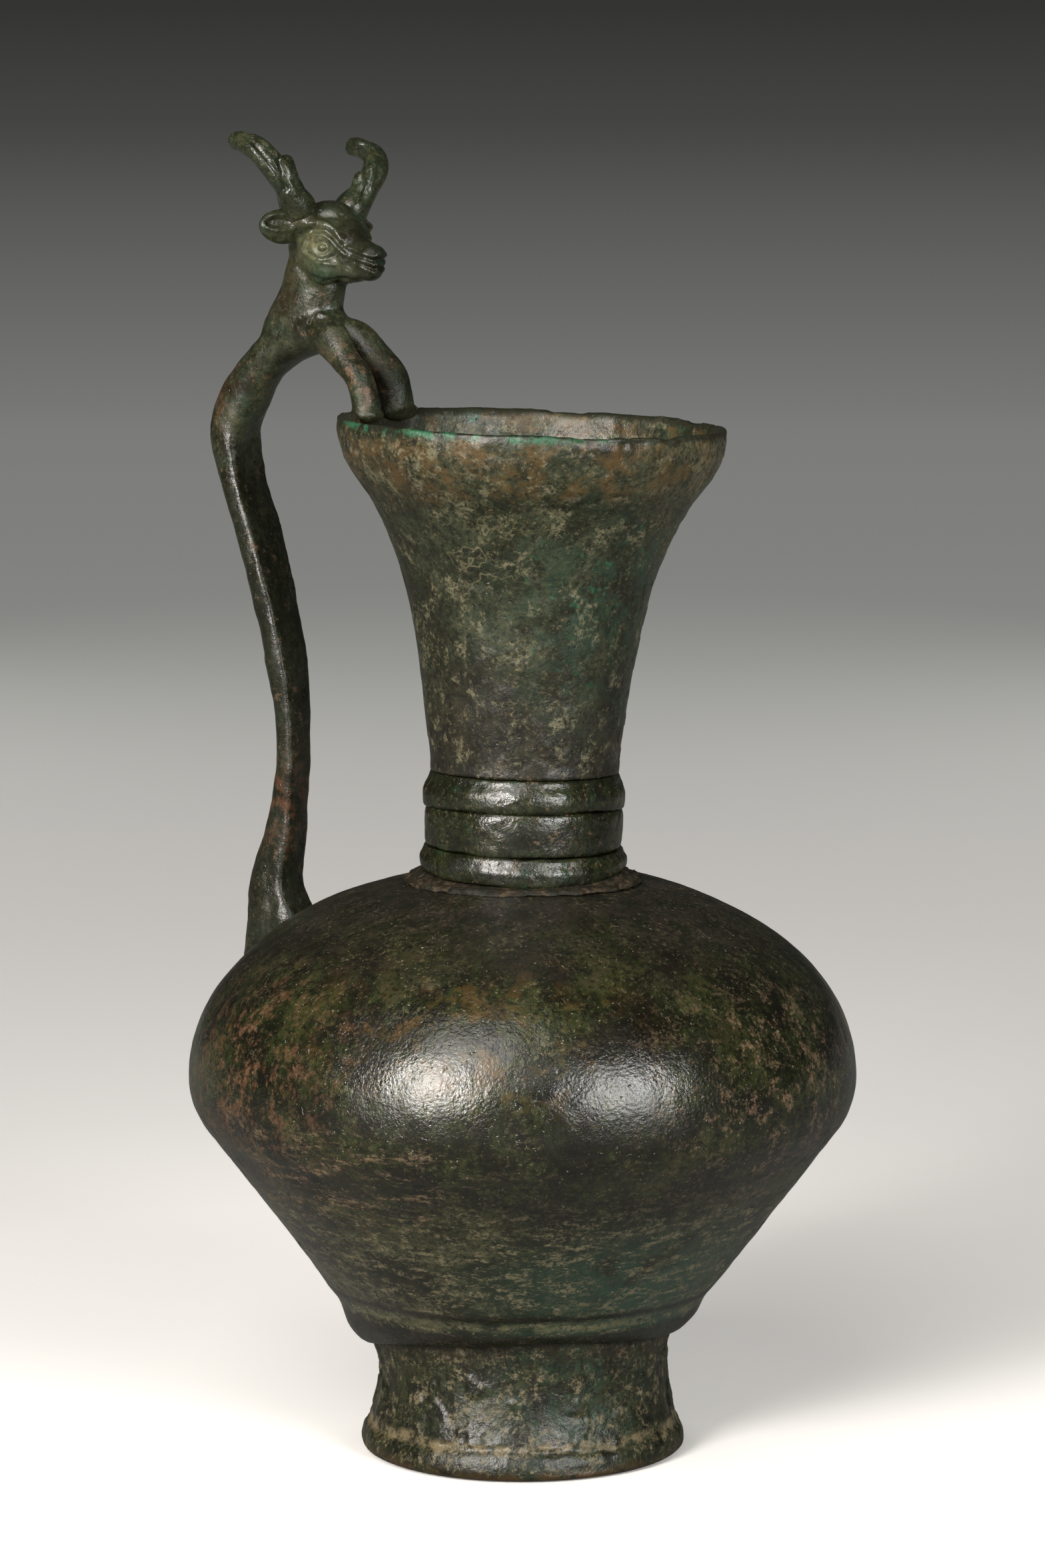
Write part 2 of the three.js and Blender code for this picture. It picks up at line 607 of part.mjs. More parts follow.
// A tenon runs down the antler's own line into the skull
function makeTenon(sign, grow = 0) {
  const [root, next] = antlerPath(sign).map((station) => station.at);
  const line = next.clone().sub(root).normalize();
  const foot = root.clone().addScaledVector(line, -TENON_L - grow);
  const size = { t: TENON_D + 2 * grow, w: TENON_D + 2 * grow };
  return loft([{ at: foot, ...size }, { at: next, ...size }], { side: ahead(1, 0, 0), sectors: 8 });
}

function makeAntler(sign) {
  const shape = { side: ahead(1, 0, 0), sectors: 8 };
  const branches = union([antlerPath, lobePath, tinePath].map((path) => loft(path(sign), shape)));
  const seat = makeSkull(FIT).add(makeEar(sign, FIT).outer);
  return branches.subtract(seat).add(makeTenon(sign));
}

function makeHandle(solidShoulder, grownNeck) {
  const ears = [makeEar(1), makeEar(-1)];
  const head = union([makeSkull(), ...ears.map((ear) => ear.outer), ...makeEye(1), ...makeEye(-1)]);
  const cuts = [...ears.map((ear) => ear.dish), makeTenon(1, FIT), makeTenon(-1, FIT)];
  const carvedHead = head.subtract(union(cuts));
  const shaft = loft(shaftStations(), { side: SIDE, sectors: 14 });
  const stag = union([shaft, makeStagNeck(), makeLeg(1), makeLeg(-1), moved(carvedHead, headFrame)]);
  return stag.subtract(moved(solidShoulder, toHandle)).subtract(moved(grownNeck, toHandle));
}

// The bed is the layer between the shoulder and the handle's foot, and spreads a little past the foot
function makeHandleSolder() {
  const foot = loft(shaftStations().slice(0, 5), { side: SIDE, sectors: 14, grow: SOLDER_SPREAD });
  const layer = shoulderSolid(FIT + SOLDER_T).subtract(shoulderSolid(FIT));
  return foot.intersect(moved(layer, toHandle));
}

function shoulderSolid(grow) {
  return revolveToAxis(offset(bellyOutside, grow));
}

// Assembly

const jug = new THREE.Group();
jug.add(node('body', makeBody(), BRONZE));
jug.add(node('base_disc', makeBaseDisc(), BRONZE));
jug.add(node('foot', makeFoot(), BRONZE));
jug.add(node('foot_solder', makeFootSolder(), SOLDER));
jug.add(node('neck_solder', makeNeckSolder(), SOLDER));

const neckGroup = new THREE.Group();
neckGroup.position.copy(neckFoot);
neckGroup.rotation.y = NECK_LEAN;
neckGroup.add(node('neck', revolveRing(neckProfile()), GREEN_BRONZE));
const lowerTopR = lowerBandR - BAND_EDGE / 2;
neckGroup.add(node('collar_lower', makeBand(lowerBandZ, LOWER_BAND_H, lowerTopR, lowerBandR), BRONZE));
neckGroup.add(node('collar_middle', makeBand(middleBandZ, MIDDLE_BAND_H, middleBandR, middleBandR), BRONZE));
neckGroup.add(node('collar_upper', makeBand(upperBandZ, UPPER_BAND_H, upperBandR, upperBandR), BRONZE));
jug.add(neckGroup);

const handleGroup = new THREE.Group();
handleGroup.rotation.z = HANDLE_TURN;
const grownNeck = moved(revolveRing(offset(neckProfile(), FIT, true)), neckFrame);
const seatClear = FIT + SOLDER_T + FIT;
handleGroup.add(node('handle', makeHandle(shoulderSolid(seatClear), grownNeck), GREEN_BRONZE));
handleGroup.add(node('handle_solder', makeHandleSolder(), SOLDER));
const headGroup = new THREE.Group();
headGroup.position.copy(skull);
headGroup.rotation.z = -HEAD_YAW;
headGroup.add(node('antler_right', makeAntler(1), GREEN_BRONZE));
headGroup.add(node('antler_left', makeAntler(-1), GREEN_BRONZE));
handleGroup.add(headGroup);
jug.add(handleGroup);

export default jug;
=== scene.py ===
"""Looks of a bronze jug with a stag handle: fine meshes and patina, built in the frame of the CAD model."""

import itertools
import math

import bmesh
import bpy
import numpy as np
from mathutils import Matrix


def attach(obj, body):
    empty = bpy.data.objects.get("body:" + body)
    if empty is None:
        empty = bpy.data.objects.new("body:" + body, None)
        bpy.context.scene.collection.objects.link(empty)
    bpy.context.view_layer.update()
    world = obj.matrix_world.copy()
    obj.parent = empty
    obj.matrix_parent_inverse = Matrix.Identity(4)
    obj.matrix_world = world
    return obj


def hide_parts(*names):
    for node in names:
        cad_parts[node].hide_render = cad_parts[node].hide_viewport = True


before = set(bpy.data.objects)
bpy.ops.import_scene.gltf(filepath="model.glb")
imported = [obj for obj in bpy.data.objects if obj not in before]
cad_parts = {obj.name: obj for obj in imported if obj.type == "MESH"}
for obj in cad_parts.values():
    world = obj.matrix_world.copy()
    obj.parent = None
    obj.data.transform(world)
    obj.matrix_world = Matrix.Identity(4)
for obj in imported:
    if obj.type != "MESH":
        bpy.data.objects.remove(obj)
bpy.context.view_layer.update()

# Lengths are millimetres until a mesh is made
MM = 0.001

# Vessel, as in the CAD model
FOOT_H, FOOT_TOP_R, FOOT_WAIST_R, FOOT_WAIST_Z = 30.8, 36.3, 34.9, 21.0
FOOT_BASE_R, FOOT_MOULDING_H, FOOT_WALL = 39.2, 8.4, 2.7
LEDGE_Z = 35.0
LIP_R, LIP_BORE_R, LIP_ROUND = 40.4, 36.6, 2.2
BELLY_R, BELLY_Z, BELLY_ROUND, BELLY_WALL = 80.7, 91.5, 17.3, 2.2
SHOULDER_RISE, SHOULDER_FULLNESS = 50.5, 2.12
TUBE_R, NECK_WALL, TUBE_END = 21.0, 2.0, -5.8
THROAT_R, NECK_TAPER, NECK_FLARE, FLARE_POWER, FLARE_H = 22.7, 9.0, 12.5, 4, 72.0
RIM_BAND_H, RIM_BAND_OUT, RIM_WALL = 11.0, 2.7, 3.2
NECK_LEAN = math.radians(1.15)
FIT = 0.3
COLLAR_SEAT = 2.2
LOWER_BAND_H, LOWER_BAND_R = 5.4, 25.0
MIDDLE_BAND_H, MIDDLE_BAND_R = 9.6, 23.9
UPPER_BAND_H, UPPER_BAND_R = 7.6, 24.3
NECK_BEAD_R = 29.0

# Handle and stag, as in the CAD model
HANDLE_TURN = math.radians(146)
HANDLE_REACH, WAIST_REACH, WAIST_UP, SEAT_REACH = 86.3, 69.1, 26.0, 74.7
HEAD_YAW = math.radians(12)
CHEST_UP, HEAD_UP, LEG_REACH, HOOF_IN = 22.0, 41.5, 17.0, 1.6
RIGHT_LEG_SPREAD, LEFT_LEG_SPREAD = 7.5, 6.9
ANTLER_SPREAD, ANTLER_RISE, ANTLER_SWEEP = 20.0, 25.8, 9.8

# The rim isn't level: it rises away from the camera and toward the left
RIM_TILT_BACK, RIM_TILT_LEFT = 0.6, 0.65

# Camera of the photograph: place, tilt below level, and focal length and picture size in its pixels
CAMERA_AT = np.array([0, -1234.0, 323.0])
CAMERA_DOWN = math.radians(7.41)
CAMERA_FOCUS, PICTURE_W, PICTURE_H = 7754, 1568, 2353


def photo_pixels(points):
    """Where points of the jug's frame fall in the photograph."""
    x, y, z = (points - CAMERA_AT).T
    c, s = math.cos(CAMERA_DOWN), math.sin(CAMERA_DOWN)
    depth, rise = y * c - z * s, y * s + z * c
    scale = CAMERA_FOCUS / depth
    return np.stack([PICTURE_W / 2 + x * scale, PICTURE_H / 2 - rise * scale], 1)


# Smooth random fields; relief is a depth in millimetres times such a field

LATTICE_SIDE = 64
LATTICE = np.random.default_rng(11).uniform(-1, 1, (LATTICE_SIDE, LATTICE_SIDE, LATTICE_SIDE))


def noise(points, size, seed=0):
    """A smooth field between -1 and 1 whose bumps are about size apart; size may differ by axis."""
    q = points / np.asarray(size, float) + 7.31 * seed
    cell = np.floor(q).astype(int)
    f = q - cell
    f = f * f * f * (f * (f * 6 - 15) + 10)
    total = np.zeros(len(points))
    for corner in itertools.product((0, 1), repeat=3):
        i, j, k = ((cell + corner) % LATTICE_SIDE).T
        share = np.prod(np.where(corner, f, 1 - f), axis=1)
        total += LATTICE[i, j, k] * share
    return total


def rough_noise(points, size, seed=0, octaves=3):
    """Noise with finer noise laid over it."""
    total = 0
    for k in range(octaves):
        total = total + noise(points, np.asarray(size, float) / 2 ** k, seed + 3 * k) / 2 ** k
    return total


def step(x, low, high):
    """Rises smoothly from 0 at low to 1 at high."""
    t = np.clip((x - low) / (high - low), 0, 1)
    return t * t * (3 - 2 * t)


def bell(x, width):
    return np.exp(-(x / width) ** 2)


# Meshes


def new_piece(name, points, faces, material, uv=None):
    """A smooth mesh from points in millimetres, riding on the jug in place of the solid of its name."""
    mesh = bpy.data.meshes.new(name)
    mesh.from_pydata((points * MM).tolist(), [], faces)
    if uv is not None:
        layer = mesh.uv_layers.new(name="OFBake")
        layer.data.foreach_set("uv", uv.astype(np.float32).ravel())
    mesh.update()
    mesh.shade_smooth()
    mesh.materials.append(material)
    piece = bpy.data.objects.new(name, mesh)
    bpy.context.scene.collection.objects.link(piece)
    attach(piece, "root")
    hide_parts(name)


def grid_quads(rows, columns):
    """Faces between neighbouring rows of a grid of points whose columns close into rings."""
    i, j = np.meshgrid(np.arange(rows - 1), np.arange(columns), indexing="ij")
    k = (j + 1) % columns
    corners = [i * columns + j, i * columns + k, (i + 1) * columns + k, (i + 1) * columns + j]
    return np.stack(corners, -1).reshape(-1, 4)


def unit(vectors):
    return vectors / np.maximum(np.linalg.norm(vectors, axis=1), 1e-12)[:, None]


def resample(path, count):
    """A path of count points, evenly spaced along the given one."""
    path = np.asarray(path, float)
    steps = np.linalg.norm(np.diff(path, axis=0), axis=1)
    along = np.concatenate([[0], np.cumsum(steps)])
    wanted = np.linspace(0, along[-1], count)
    return np.stack([np.interp(wanted, along, path[:, k]) for k in range(path.shape[1])], 1)


def arc(centre, radius, from_deg, to_deg, count=24):
    a = np.radians(np.linspace(from_deg, to_deg, count))
    return np.stack([centre[0] + radius * np.cos(a), centre[1] + radius * np.sin(a)], 1)


def rounded(corners, radius, count=8):
    """A path through corners, with each inner corner turned into a smooth bend."""
    corners = np.asarray(corners, float)
    path = [corners[0]]
    for before, corner, after in zip(corners, corners[1:], corners[2:]):
        reach = min(radius, np.linalg.norm(corner - before) / 2, np.linalg.norm(after - corner) / 2)
        start = corner + (before - corner) * reach / np.linalg.norm(before - corner)
        end = corner + (after - corner) * reach / np.linalg.norm(after - corner)
        for t in np.linspace(0, 1, count):
            path.append((1 - t) ** 2 * start + 2 * t * (1 - t) * corner + t * t * end)
    path.append(corners[-1])
    return np.array(path)


def inward(path, distance):
    """A profile moved to the left of its direction of travel, into the wall."""
    tangent = unit(np.gradient(np.asarray(path, float), axis=0))
    return path + distance * np.stack([-tangent[:, 1], tangent[:, 0]], 1)


class Lathe:
    """A revolved grid of points: rows along a closed profile, columns round the axis."""

    def __init__(self, outside, inside, turns):
        profile = np.vstack([outside, inside])
        self.rows, self.turns = len(profile), turns
        tangent = unit(np.roll(profile, -1, 0) - np.roll(profile, 1, 0))
        angle = np.linspace(0, 2 * math.pi, turns, endpoint=False)
        self.cos, self.sin = np.tile(np.cos(angle), self.rows), np.tile(np.sin(angle), self.rows)
        self.r, self.z = np.repeat(profile[:, 0], turns), np.repeat(profile[:, 1], turns)
        self.normal_r, self.normal_z = np.repeat(tangent[:, 1], turns), np.repeat(-tangent[:, 0], turns)
        self.outer = np.repeat(np.arange(self.rows) < len(outside), turns)
        step_length = np.linalg.norm(np.diff(np.vstack([profile, profile[:1]]), axis=0), axis=1)
        self.along = np.concatenate([[0], np.cumsum(step_length)]) / step_length.sum()

    def points(self):
        return np.stack([self.r * self.cos, self.r * self.sin, self.z], 1)

    def push(self, outer, inner=0):
        """Moves the points of the outside and of the inside along their normals."""
        depth = np.where(self.outer, outer, inner)
        self.r = self.r + self.normal_r * depth
        self.z = self.z + self.normal_z * depth

    def uv(self):
        """Texture places of the faces' corners: once round the axis, and once along the profile."""
        i, j = np.meshgrid(np.arange(self.rows), np.arange(self.turns), indexing="ij")
        corners = [(j, i), (j + 1, i), (j + 1, i + 1), (j, i + 1)]
        flat = [np.stack([u.ravel() / self.turns, self.along[v.ravel()]], 1) for u, v in corners]
        return np.stack(flat, 1)

    def make(self, name, place, material):
        """The mesh, brought from the lathe's own frame to the jug's by place."""
        points = place(self.points())
        faces = grid_quads(self.rows + 1, self.turns) % len(points)
        new_piece(name, points, faces, material, self.uv())


def upright(points):
    return points


def shoulder_z(r):
    """Height of the shoulder at a radius."""
    return BELLY_Z + SHOULDER_RISE * (1 - (r / BELLY_R) ** SHOULDER_FULLNESS) ** (1 / SHOULDER_FULLNESS)


NECK_FOOT_Z = shoulder_z(TUBE_R + FIT)


def leaning(points):
    """From the neck's own frame, whose origin is where the tube leaves the shoulder, to the jug's."""
    x, y, z = points.T
    c, s = math.cos(NECK_LEAN), math.sin(NECK_LEAN)
    return np.stack([x * c + z * s, y, z * c - x * s + NECK_FOOT_Z], 1)


# Belly and foot


def lift_seam(lathe):
    """The seam between the belly's lip and the foot is higher in front and lower at the sides."""
    lift = 1.0 * lathe.cos - 2.3 * (lathe.cos ** 2 - lathe.sin ** 2) - 0.8 * lathe.sin
    lathe.z = lathe.z + bell(lathe.z - FOOT_H, 9.0) * lift


def belly_outside():
    lip_centre = np.array([LIP_R - LIP_ROUND, FOOT_H + LIP_ROUND])
    turn_centre = np.array([BELLY_R - BELLY_ROUND, BELLY_Z])
    line = turn_centre - lip_centre
    lean = math.atan2(line[1], line[0]) - math.acos((LIP_ROUND - BELLY_ROUND) / np.linalg.norm(line))
    lean_deg = math.degrees(lean)
    end = math.acos(((TUBE_R + FIT) / BELLY_R) ** (SHOULDER_FULLNESS / 2))
    a = np.linspace(0, end, 200)[1:]
    r = BELLY_R * np.cos(a) ** (2 / SHOULDER_FULLNESS)
    lip = arc(lip_centre, LIP_ROUND, -90, lean_deg)
    turn = arc(turn_centre, BELLY_ROUND, lean_deg, 0, count=60)
    return np.vstack([lip, turn, np.stack([r, shoulder_z(r)], 1)])


def make_body(material):
    dense = belly_outside()
    outside = resample(dense, count=170)
    above_ledge = dense[np.argmax(dense[:, 1] > LEDGE_Z + 2):]
    inside = resample(inward(above_ledge, BELLY_WALL)[::-1], count=22)
    seat = np.array([[LIP_BORE_R, LEDGE_Z], [LIP_BORE_R, FOOT_H + 0.4]])
    body = Lathe(outside, np.vstack([inside, seat]), turns=500)
    p = body.points()
    cone = step(BELLY_Z - body.z, 2, 14)
    wobble = 0.42 * noise(p, 34, 1) + 0.16 * noise(p, 13, 2)
    scrape = 0.10 * rough_noise(p, (30, 30, 3.2), 3) * cone
    lip = step(body.z, FOOT_H + 9, FOOT_H + 2)
    bead = 0.6 * bell(body.z - FOOT_H - 3.2, 2.6) - 0.3 * bell(body.z - FOOT_H - 8, 2.2)
    rolled = bead + 0.45 * lip * noise(p, (16, 16, 9), 5)
    grain = 0.05 * rough_noise(p, 3.2, 6)
    pits = -0.28 * step(noise(p, 4.6, 8), 0.62, 0.85) * step(noise(p, 26, 9), -0.1, 0.5)
    body.push(wobble + scrape + rolled + grain + pits, 0.25 * noise(p, 20, 4))
    lift_seam(body)
    body.make("body", upright, material)


def make_foot(material):
    base, shoulder = FOOT_BASE_R, FOOT_TOP_R + 0.9
    moulding = rounded([[base - 2.6, 0], [base + 0.1, 0.6], [base, 4.2], [shoulder, FOOT_MOULDING_H]], 2.2)
    z = FOOT_MOULDING_H + (FOOT_H - FIT - FOOT_MOULDING_H) * np.linspace(0.06, 1, 40)
    dip = (z - FOOT_WAIST_Z) / (FOOT_H - FOOT_WAIST_Z)
    sweep = np.stack([FOOT_WAIST_R + (FOOT_TOP_R - FOOT_WAIST_R) * np.minimum(dip * dip, 1.3), z], 1)
    outside = resample(np.vstack([moulding, sweep]), count=76)
    bore_r = FOOT_TOP_R - FOOT_WALL
    top = np.array([[FOOT_TOP_R, LEDGE_Z - 0.2], [bore_r, LEDGE_Z - 0.2]])
    waist = [FOOT_WAIST_R - FOOT_WALL, FOOT_WAIST_Z]
    bore = resample([[bore_r, LEDGE_Z - 0.6], waist, [bore_r, 5], [bore_r, 0]], count=14)
    foot = Lathe(outside, np.vstack([top, bore]), turns=420)
    p = foot.points()
    standing = step(foot.z, 0, 2.5)
    edge_line = FOOT_MOULDING_H - 1.2 + 1.1 * noise(p, (14, 14, 60), 21) + 0.5 * noise(p, (5, 5, 60), 22)
    groove = -0.5 * bell(foot.z - edge_line, 0.9)
    crust = 0.45 * step(rough_noise(p, (5, 5, 7), 23), 0.25, 0.6) * step(foot.z, 4, 10)
    wobble = 0.5 * noise(p, 22, 24) + 0.3 * noise(p, (8, 8, 11), 25)
    grain = 0.09 * rough_noise(p, 2.6, 26)
    foot.push(standing * (wobble + groove + crust + grain))
    lift_seam(foot)
    foot.make("foot", upright, material)


# Neck and collar, in the neck's own frame

MIDDLE_Z = COLLAR_SEAT + LOWER_BAND_H + FIT
UPPER_Z = MIDDLE_Z + MIDDLE_BAND_H + FIT
THROAT_Z = UPPER_Z + UPPER_BAND_H + FIT
FLARE_Z = THROAT_Z + FLARE_H
RIM_Z = FLARE_Z + RIM_BAND_H
FLARE_R = THROAT_R + NECK_TAPER + NECK_FLARE
RIM_R = FLARE_R + RIM_BAND_OUT


def sag_collar(lathe):
    """The bands aren't level: the lowest edge hangs in front, and the upper grooves dip at the sides."""
    front = step(-lathe.sin, 0.1, 1.0)
    edges = [-6, COLLAR_SEAT, MIDDLE_Z, UPPER_Z, THROAT_Z + 3]
    at_sides = np.interp(lathe.z, edges, [0, 0, -0.4, -0.9, 0])
    added_in_front = np.interp(lathe.z, edges, [0, -2.0, -0.3, 0.9, 0])
    lathe.z = lathe.z + at_sides + front * added_in_front


def neck_outside():
    share = np.linspace(0, 1, 120)
    r = THROAT_R + NECK_TAPER * share + NECK_FLARE * share ** FLARE_POWER
    flare = np.stack([r, THROAT_Z + FLARE_H * share], 1)
    band = rounded([flare[-14], [FLARE_R - 0.6, FLARE_Z - 1.5], [RIM_R - 0.9, FLARE_Z + 3.2],
                    [RIM_R + 0.1, RIM_Z - 2.4], [RIM_R - 0.1, RIM_Z], [RIM_R - 1.7, RIM_Z + 0.1]], 2.4)
    return np.vstack([flare[:-14], band])


def make_neck(material):
    dense = neck_outside()
    outside = resample(dense, count=150)
    wall = inward(dense[:-12], NECK_WALL)
    mouth = rounded([[RIM_R - 1.7, RIM_Z + 0.1], [RIM_R - 2.7, RIM_Z - 0.2], [RIM_R - RIM_WALL, RIM_Z - 2],
                     [FLARE_R - NECK_WALL + 0.6, FLARE_Z], wall[-22]], 1.2)
    tube_bore = TUBE_R - NECK_WALL
    inner = np.vstack([mouth, wall[-23::-1], [[tube_bore, THROAT_Z - 2], [tube_bore, TUBE_END]]])
    inside = np.vstack([resample(inner, count=70)[1:], [[TUBE_R, TUBE_END], [TUBE_R, THROAT_Z]]])
    neck = Lathe(outside, inside, turns=400)
    p = neck.points()
    band = step(neck.z, FLARE_Z - 4, FLARE_Z + 1)
    top = step(neck.z, RIM_Z - 5, RIM_Z - 1)
    wobble = 0.3 * noise(p, 26, 31) + 0.12 * noise(p, 9, 32)
    plates = 0.16 * step(rough_noise(p, (11, 11, 14), 33, 4), 0.16, 0.22)
    scabs = 0.22 * step(rough_noise(p, 6, 34), 0.45, 0.62) * step(noise(p, 21, 35), -0.2, 0.4)
    crust = 0.22 * band * rough_noise(p, (4, 4, 3), 36)
    chips = -0.6 * top * step(rough_noise(p, (9, 9, 5), 37), 0.35, 0.8)
    grain = 0.05 * rough_noise(p, 2.4, 38)
    rough_mouth = 0.3 * rough_noise(p, 4.5, 39)
    free = step(neck.z, THROAT_Z, THROAT_Z + 3)
    outer = free * (wobble + plates * (1 - band) + scabs + crust + grain + chips - 0.3)
    neck.push(outer, free * (rough_mouth + 0.5 * chips))
    sag_collar(neck)
    tilt = RIM_TILT_BACK * (1 + neck.sin) - RIM_TILT_LEFT * neck.cos
    neck.z = neck.z + step(neck.z, THROAT_Z + 20, RIM_Z) * tilt
    neck.make("neck", leaning, material)


def make_band(name, z, height, top_r, bottom_r, seed, material):
    belly = max(top_r, bottom_r)
    bore = TUBE_R + 0.1
    outside = rounded([
        [bore, z], [bottom_r - 0.3, z - 0.1], [bottom_r, z + 1.4], [belly + 0.15, z + height * 0.5],
        [top_r, z + height - 1.4], [top_r - 0.4, z + height + 0.1], [bore, z + height],
    ], 2.3)
    inside = np.array([[bore, z + height * 0.6], [bore, z + height * 0.4]])
    band = Lathe(resample(outside, count=40), inside, turns=360)
    p = band.points()
    dents = 0.36 * noise(p, (12, 12, 7), seed) + 0.16 * rough_noise(p, (5, 5, 3.5), seed + 1)
    grain = 0.035 * rough_noise(p, 1.8, seed + 2)
    band.push(step(band.r, bore + 0.6, bore + 2.0) * (dents + grain))
    sag_collar(band)
    band.make(name, leaning, material)


def make_neck_solder(material):
    """A grainy bead that fills the corner between the lowest band and the shoulder."""
    bore = TUBE_R + 0.6
    reach = np.linspace(bore, NECK_BEAD_R, 8)
    under = np.stack([reach, shoulder_z(reach) + 0.1], 1)
    edge_z = under[-1, 1]
    crest = NECK_FOOT_Z + COLLAR_SEAT - 0.4
    over = rounded([
        [NECK_BEAD_R, edge_z], [NECK_BEAD_R - 0.4, edge_z + 0.9], [LOWER_BAND_R + 0.9, crest - 0.9],
        [LOWER_BAND_R - 0.4, crest], [bore, crest],
    ], 1.2)
    bead = Lathe(resample(over, count=34), under[:-1], turns=420)
    p = bead.points()
    lumps = 0.55 * noise(p, (3.2, 3.2, 2.5), 61) + 0.35 * noise(p, (1.7, 1.7, 1.7), 62)
    spread = 0.7 * noise(p, (11, 11, 50), 63)
    bead.push(step(bead.r, LOWER_BAND_R - 0.6, LOWER_BAND_R + 0.8) * (lumps + spread))
    front = step(-bead.sin, 0.1, 1.0)
    under_band = step(bead.z, crest - 2.2, crest) * step(bead.r, NECK_BEAD_R, NECK_BEAD_R - 3)
    bead.z = bead.z - 1.5 * front * under_band
    bead.make("neck_solder", upright, material)


# Handle: points are (reach from the jug's axis, sideways, height), in a frame turned to the handle's plane

RIM_TOP = NECK_FOOT_Z + RIM_Z * math.cos(NECK_LEAN)
RIM_SHIFT = RIM_Z * math.sin(NECK_LEAN) * math.cos(HANDLE_TURN)
WAIST_Z = NECK_FOOT_Z + WAIST_UP
HOOF_REACH = RIM_R - RIM_WALL / 2 + RIM_SHIFT - HOOF_IN
CHEST = np.array([HOOF_REACH + LEG_REACH, 0, RIM_TOP + CHEST_UP])
SKULL = np.array([HOOF_REACH + LEG_REACH, 0, RIM_TOP + HEAD_UP])
SIDE = np.array([0.0, 1.0, 0.0])


def turned(points, angle):
    c, s = math.cos(angle), math.sin(angle)
    x, y, z = points.T
    return np.stack([c * x - s * y, s * x + c * y, z], 1)


def from_handle(points):
    return turned(points, HANDLE_TURN)


def from_head(marks):
    """From (forward, to the stag's right, up), with the skull as origin, to the handle's frame."""
    marks = np.atleast_2d(marks) * [-1, 1, 1]
    return turned(marks, -HEAD_YAW) + SKULL


def to_head(points):
    return turned(points - SKULL, HEAD_YAW) * [-1, 1, 1]


def head_distance(points, forward, up=0):
    """Distance of points from a place in the middle plane of the head."""
    return np.linalg.norm(to_head(points) - [forward, 0, up], axis=1)


def spline(knots, count):
    """Points along a smooth curve through the knots, evenly spread in the curve's own parameter."""
    knots = np.asarray(knots, float)
    padded = np.vstack([2 * knots[0] - knots[1], knots, 2 * knots[-1] - knots[-2]])
    t = np.linspace(0, len(knots) - 1, count)
    i = np.minimum(t.astype(int), len(knots) - 2)
    f = (t - i)[:, None]
    p0, p1, p2, p3 = padded[i], padded[i + 1], padded[i + 2], padded[i + 3]
    bend = 2 * p0 - 5 * p1 + 4 * p2 - p3
    return 0.5 * (2 * p1 + (p2 - p0) * f + bend * f * f + (3 * p1 - p0 - 3 * p2 + p3) * f ** 3)


def loft(stations, side, rings, sectors):
    """A closed tube through stations (centre, thickness, width, squareness of the inner half)."""
    centres = spline([s[0] for s in stations], rings)
    sizes = spline([(*s[1:3], s[3] if len(s) > 3 else 2) for s in stations], rings)
    along = unit(np.gradient(centres, axis=0))
    across = unit(side - along * (along @ side)[:, None])
    out = np.cross(across, along)
    angle = np.linspace(0, 2 * math.pi, sectors, endpoint=False)
    cos, sin = np.cos(angle), np.sin(angle)
    power = 2 / np.where(cos < 0, np.maximum(sizes[:, 2:], 1.5), 2)
    a = np.sign(cos) * np.abs(cos) ** power * sizes[:, :1] / 2
    b = np.sign(sin) * np.abs(sin) ** power * sizes[:, 1:2] / 2
    grid = centres[:, None] + a[..., None] * out[:, None] + b[..., None] * across[:, None]
    faces = grid_quads(rings, sectors).tolist()
    faces.append(list(range(sectors))[::-1])
    faces.append(list(range((rings - 1) * sectors, rings * sectors)))
    return grid.reshape(-1, 3), faces


def egg(centre, radii, place=upright, rings=24, sectors=32):
    """An ellipsoid, in the frame that place turns into the handle's."""
    lat = np.linspace(-math.pi / 2, math.pi / 2, rings + 2)[1:-1, None]
    angle = np.linspace(0, 2 * math.pi, sectors, endpoint=False)
    x, y, z = np.cos(lat) * np.cos(angle), np.cos(lat) * np.sin(angle), np.sin(lat) + 0 * angle
    ball = np.stack([x, y, z], -1).reshape(-1, 3)
    points = np.vstack([ball, [0, 0, -1], [0, 0, 1]]) * radii + centre
    faces = grid_quads(rings, sectors).tolist()
    low, high = rings * sectors, rings * sectors + 1
    last = (rings - 1) * sectors
    for j in range(sectors):
        k = (j + 1) % sectors
        faces.append([low, k, j])
        faces.append([high, last + j, last + k])
    return place(points), faces


def fuse(solids, voxel):
    """One skin round all the solids: (points, quads)."""
    mesh = bpy.data.meshes.new("fused")
    points, faces, start = [], [], 0
    for solid_points, solid_faces in solids:
        points.append(solid_points)
        faces.extend([[v + start for v in face] for face in solid_faces])
        start += len(solid_points)
    mesh.from_pydata((np.vstack(points) * MM).tolist(), [], faces)
    made = bpy.data.objects.new("fused", mesh)
    bpy.context.scene.collection.objects.link(made)
    remesh = made.modifiers.new("skin", "REMESH")
    remesh.mode = "VOXEL"
    remesh.voxel_size = voxel * MM
    skin = made.evaluated_get(bpy.context.evaluated_depsgraph_get()).to_mesh()
    co = np.empty(len(skin.vertices) * 3, np.float32)
    skin.vertices.foreach_get("co", co)
    corners = np.empty(len(skin.loops), np.int32)
    skin.loops.foreach_get("vertex_index", corners)
    bpy.data.objects.remove(made)
    bpy.data.meshes.remove(mesh)
    return co.reshape(-1, 3).astype(float) / MM, corners.reshape(-1, 4)


def summed(index, values, count):
    """For each of count places, the sum of the values whose index it is."""
    return np.stack([np.bincount(index, column, count) for column in values.T], 1)


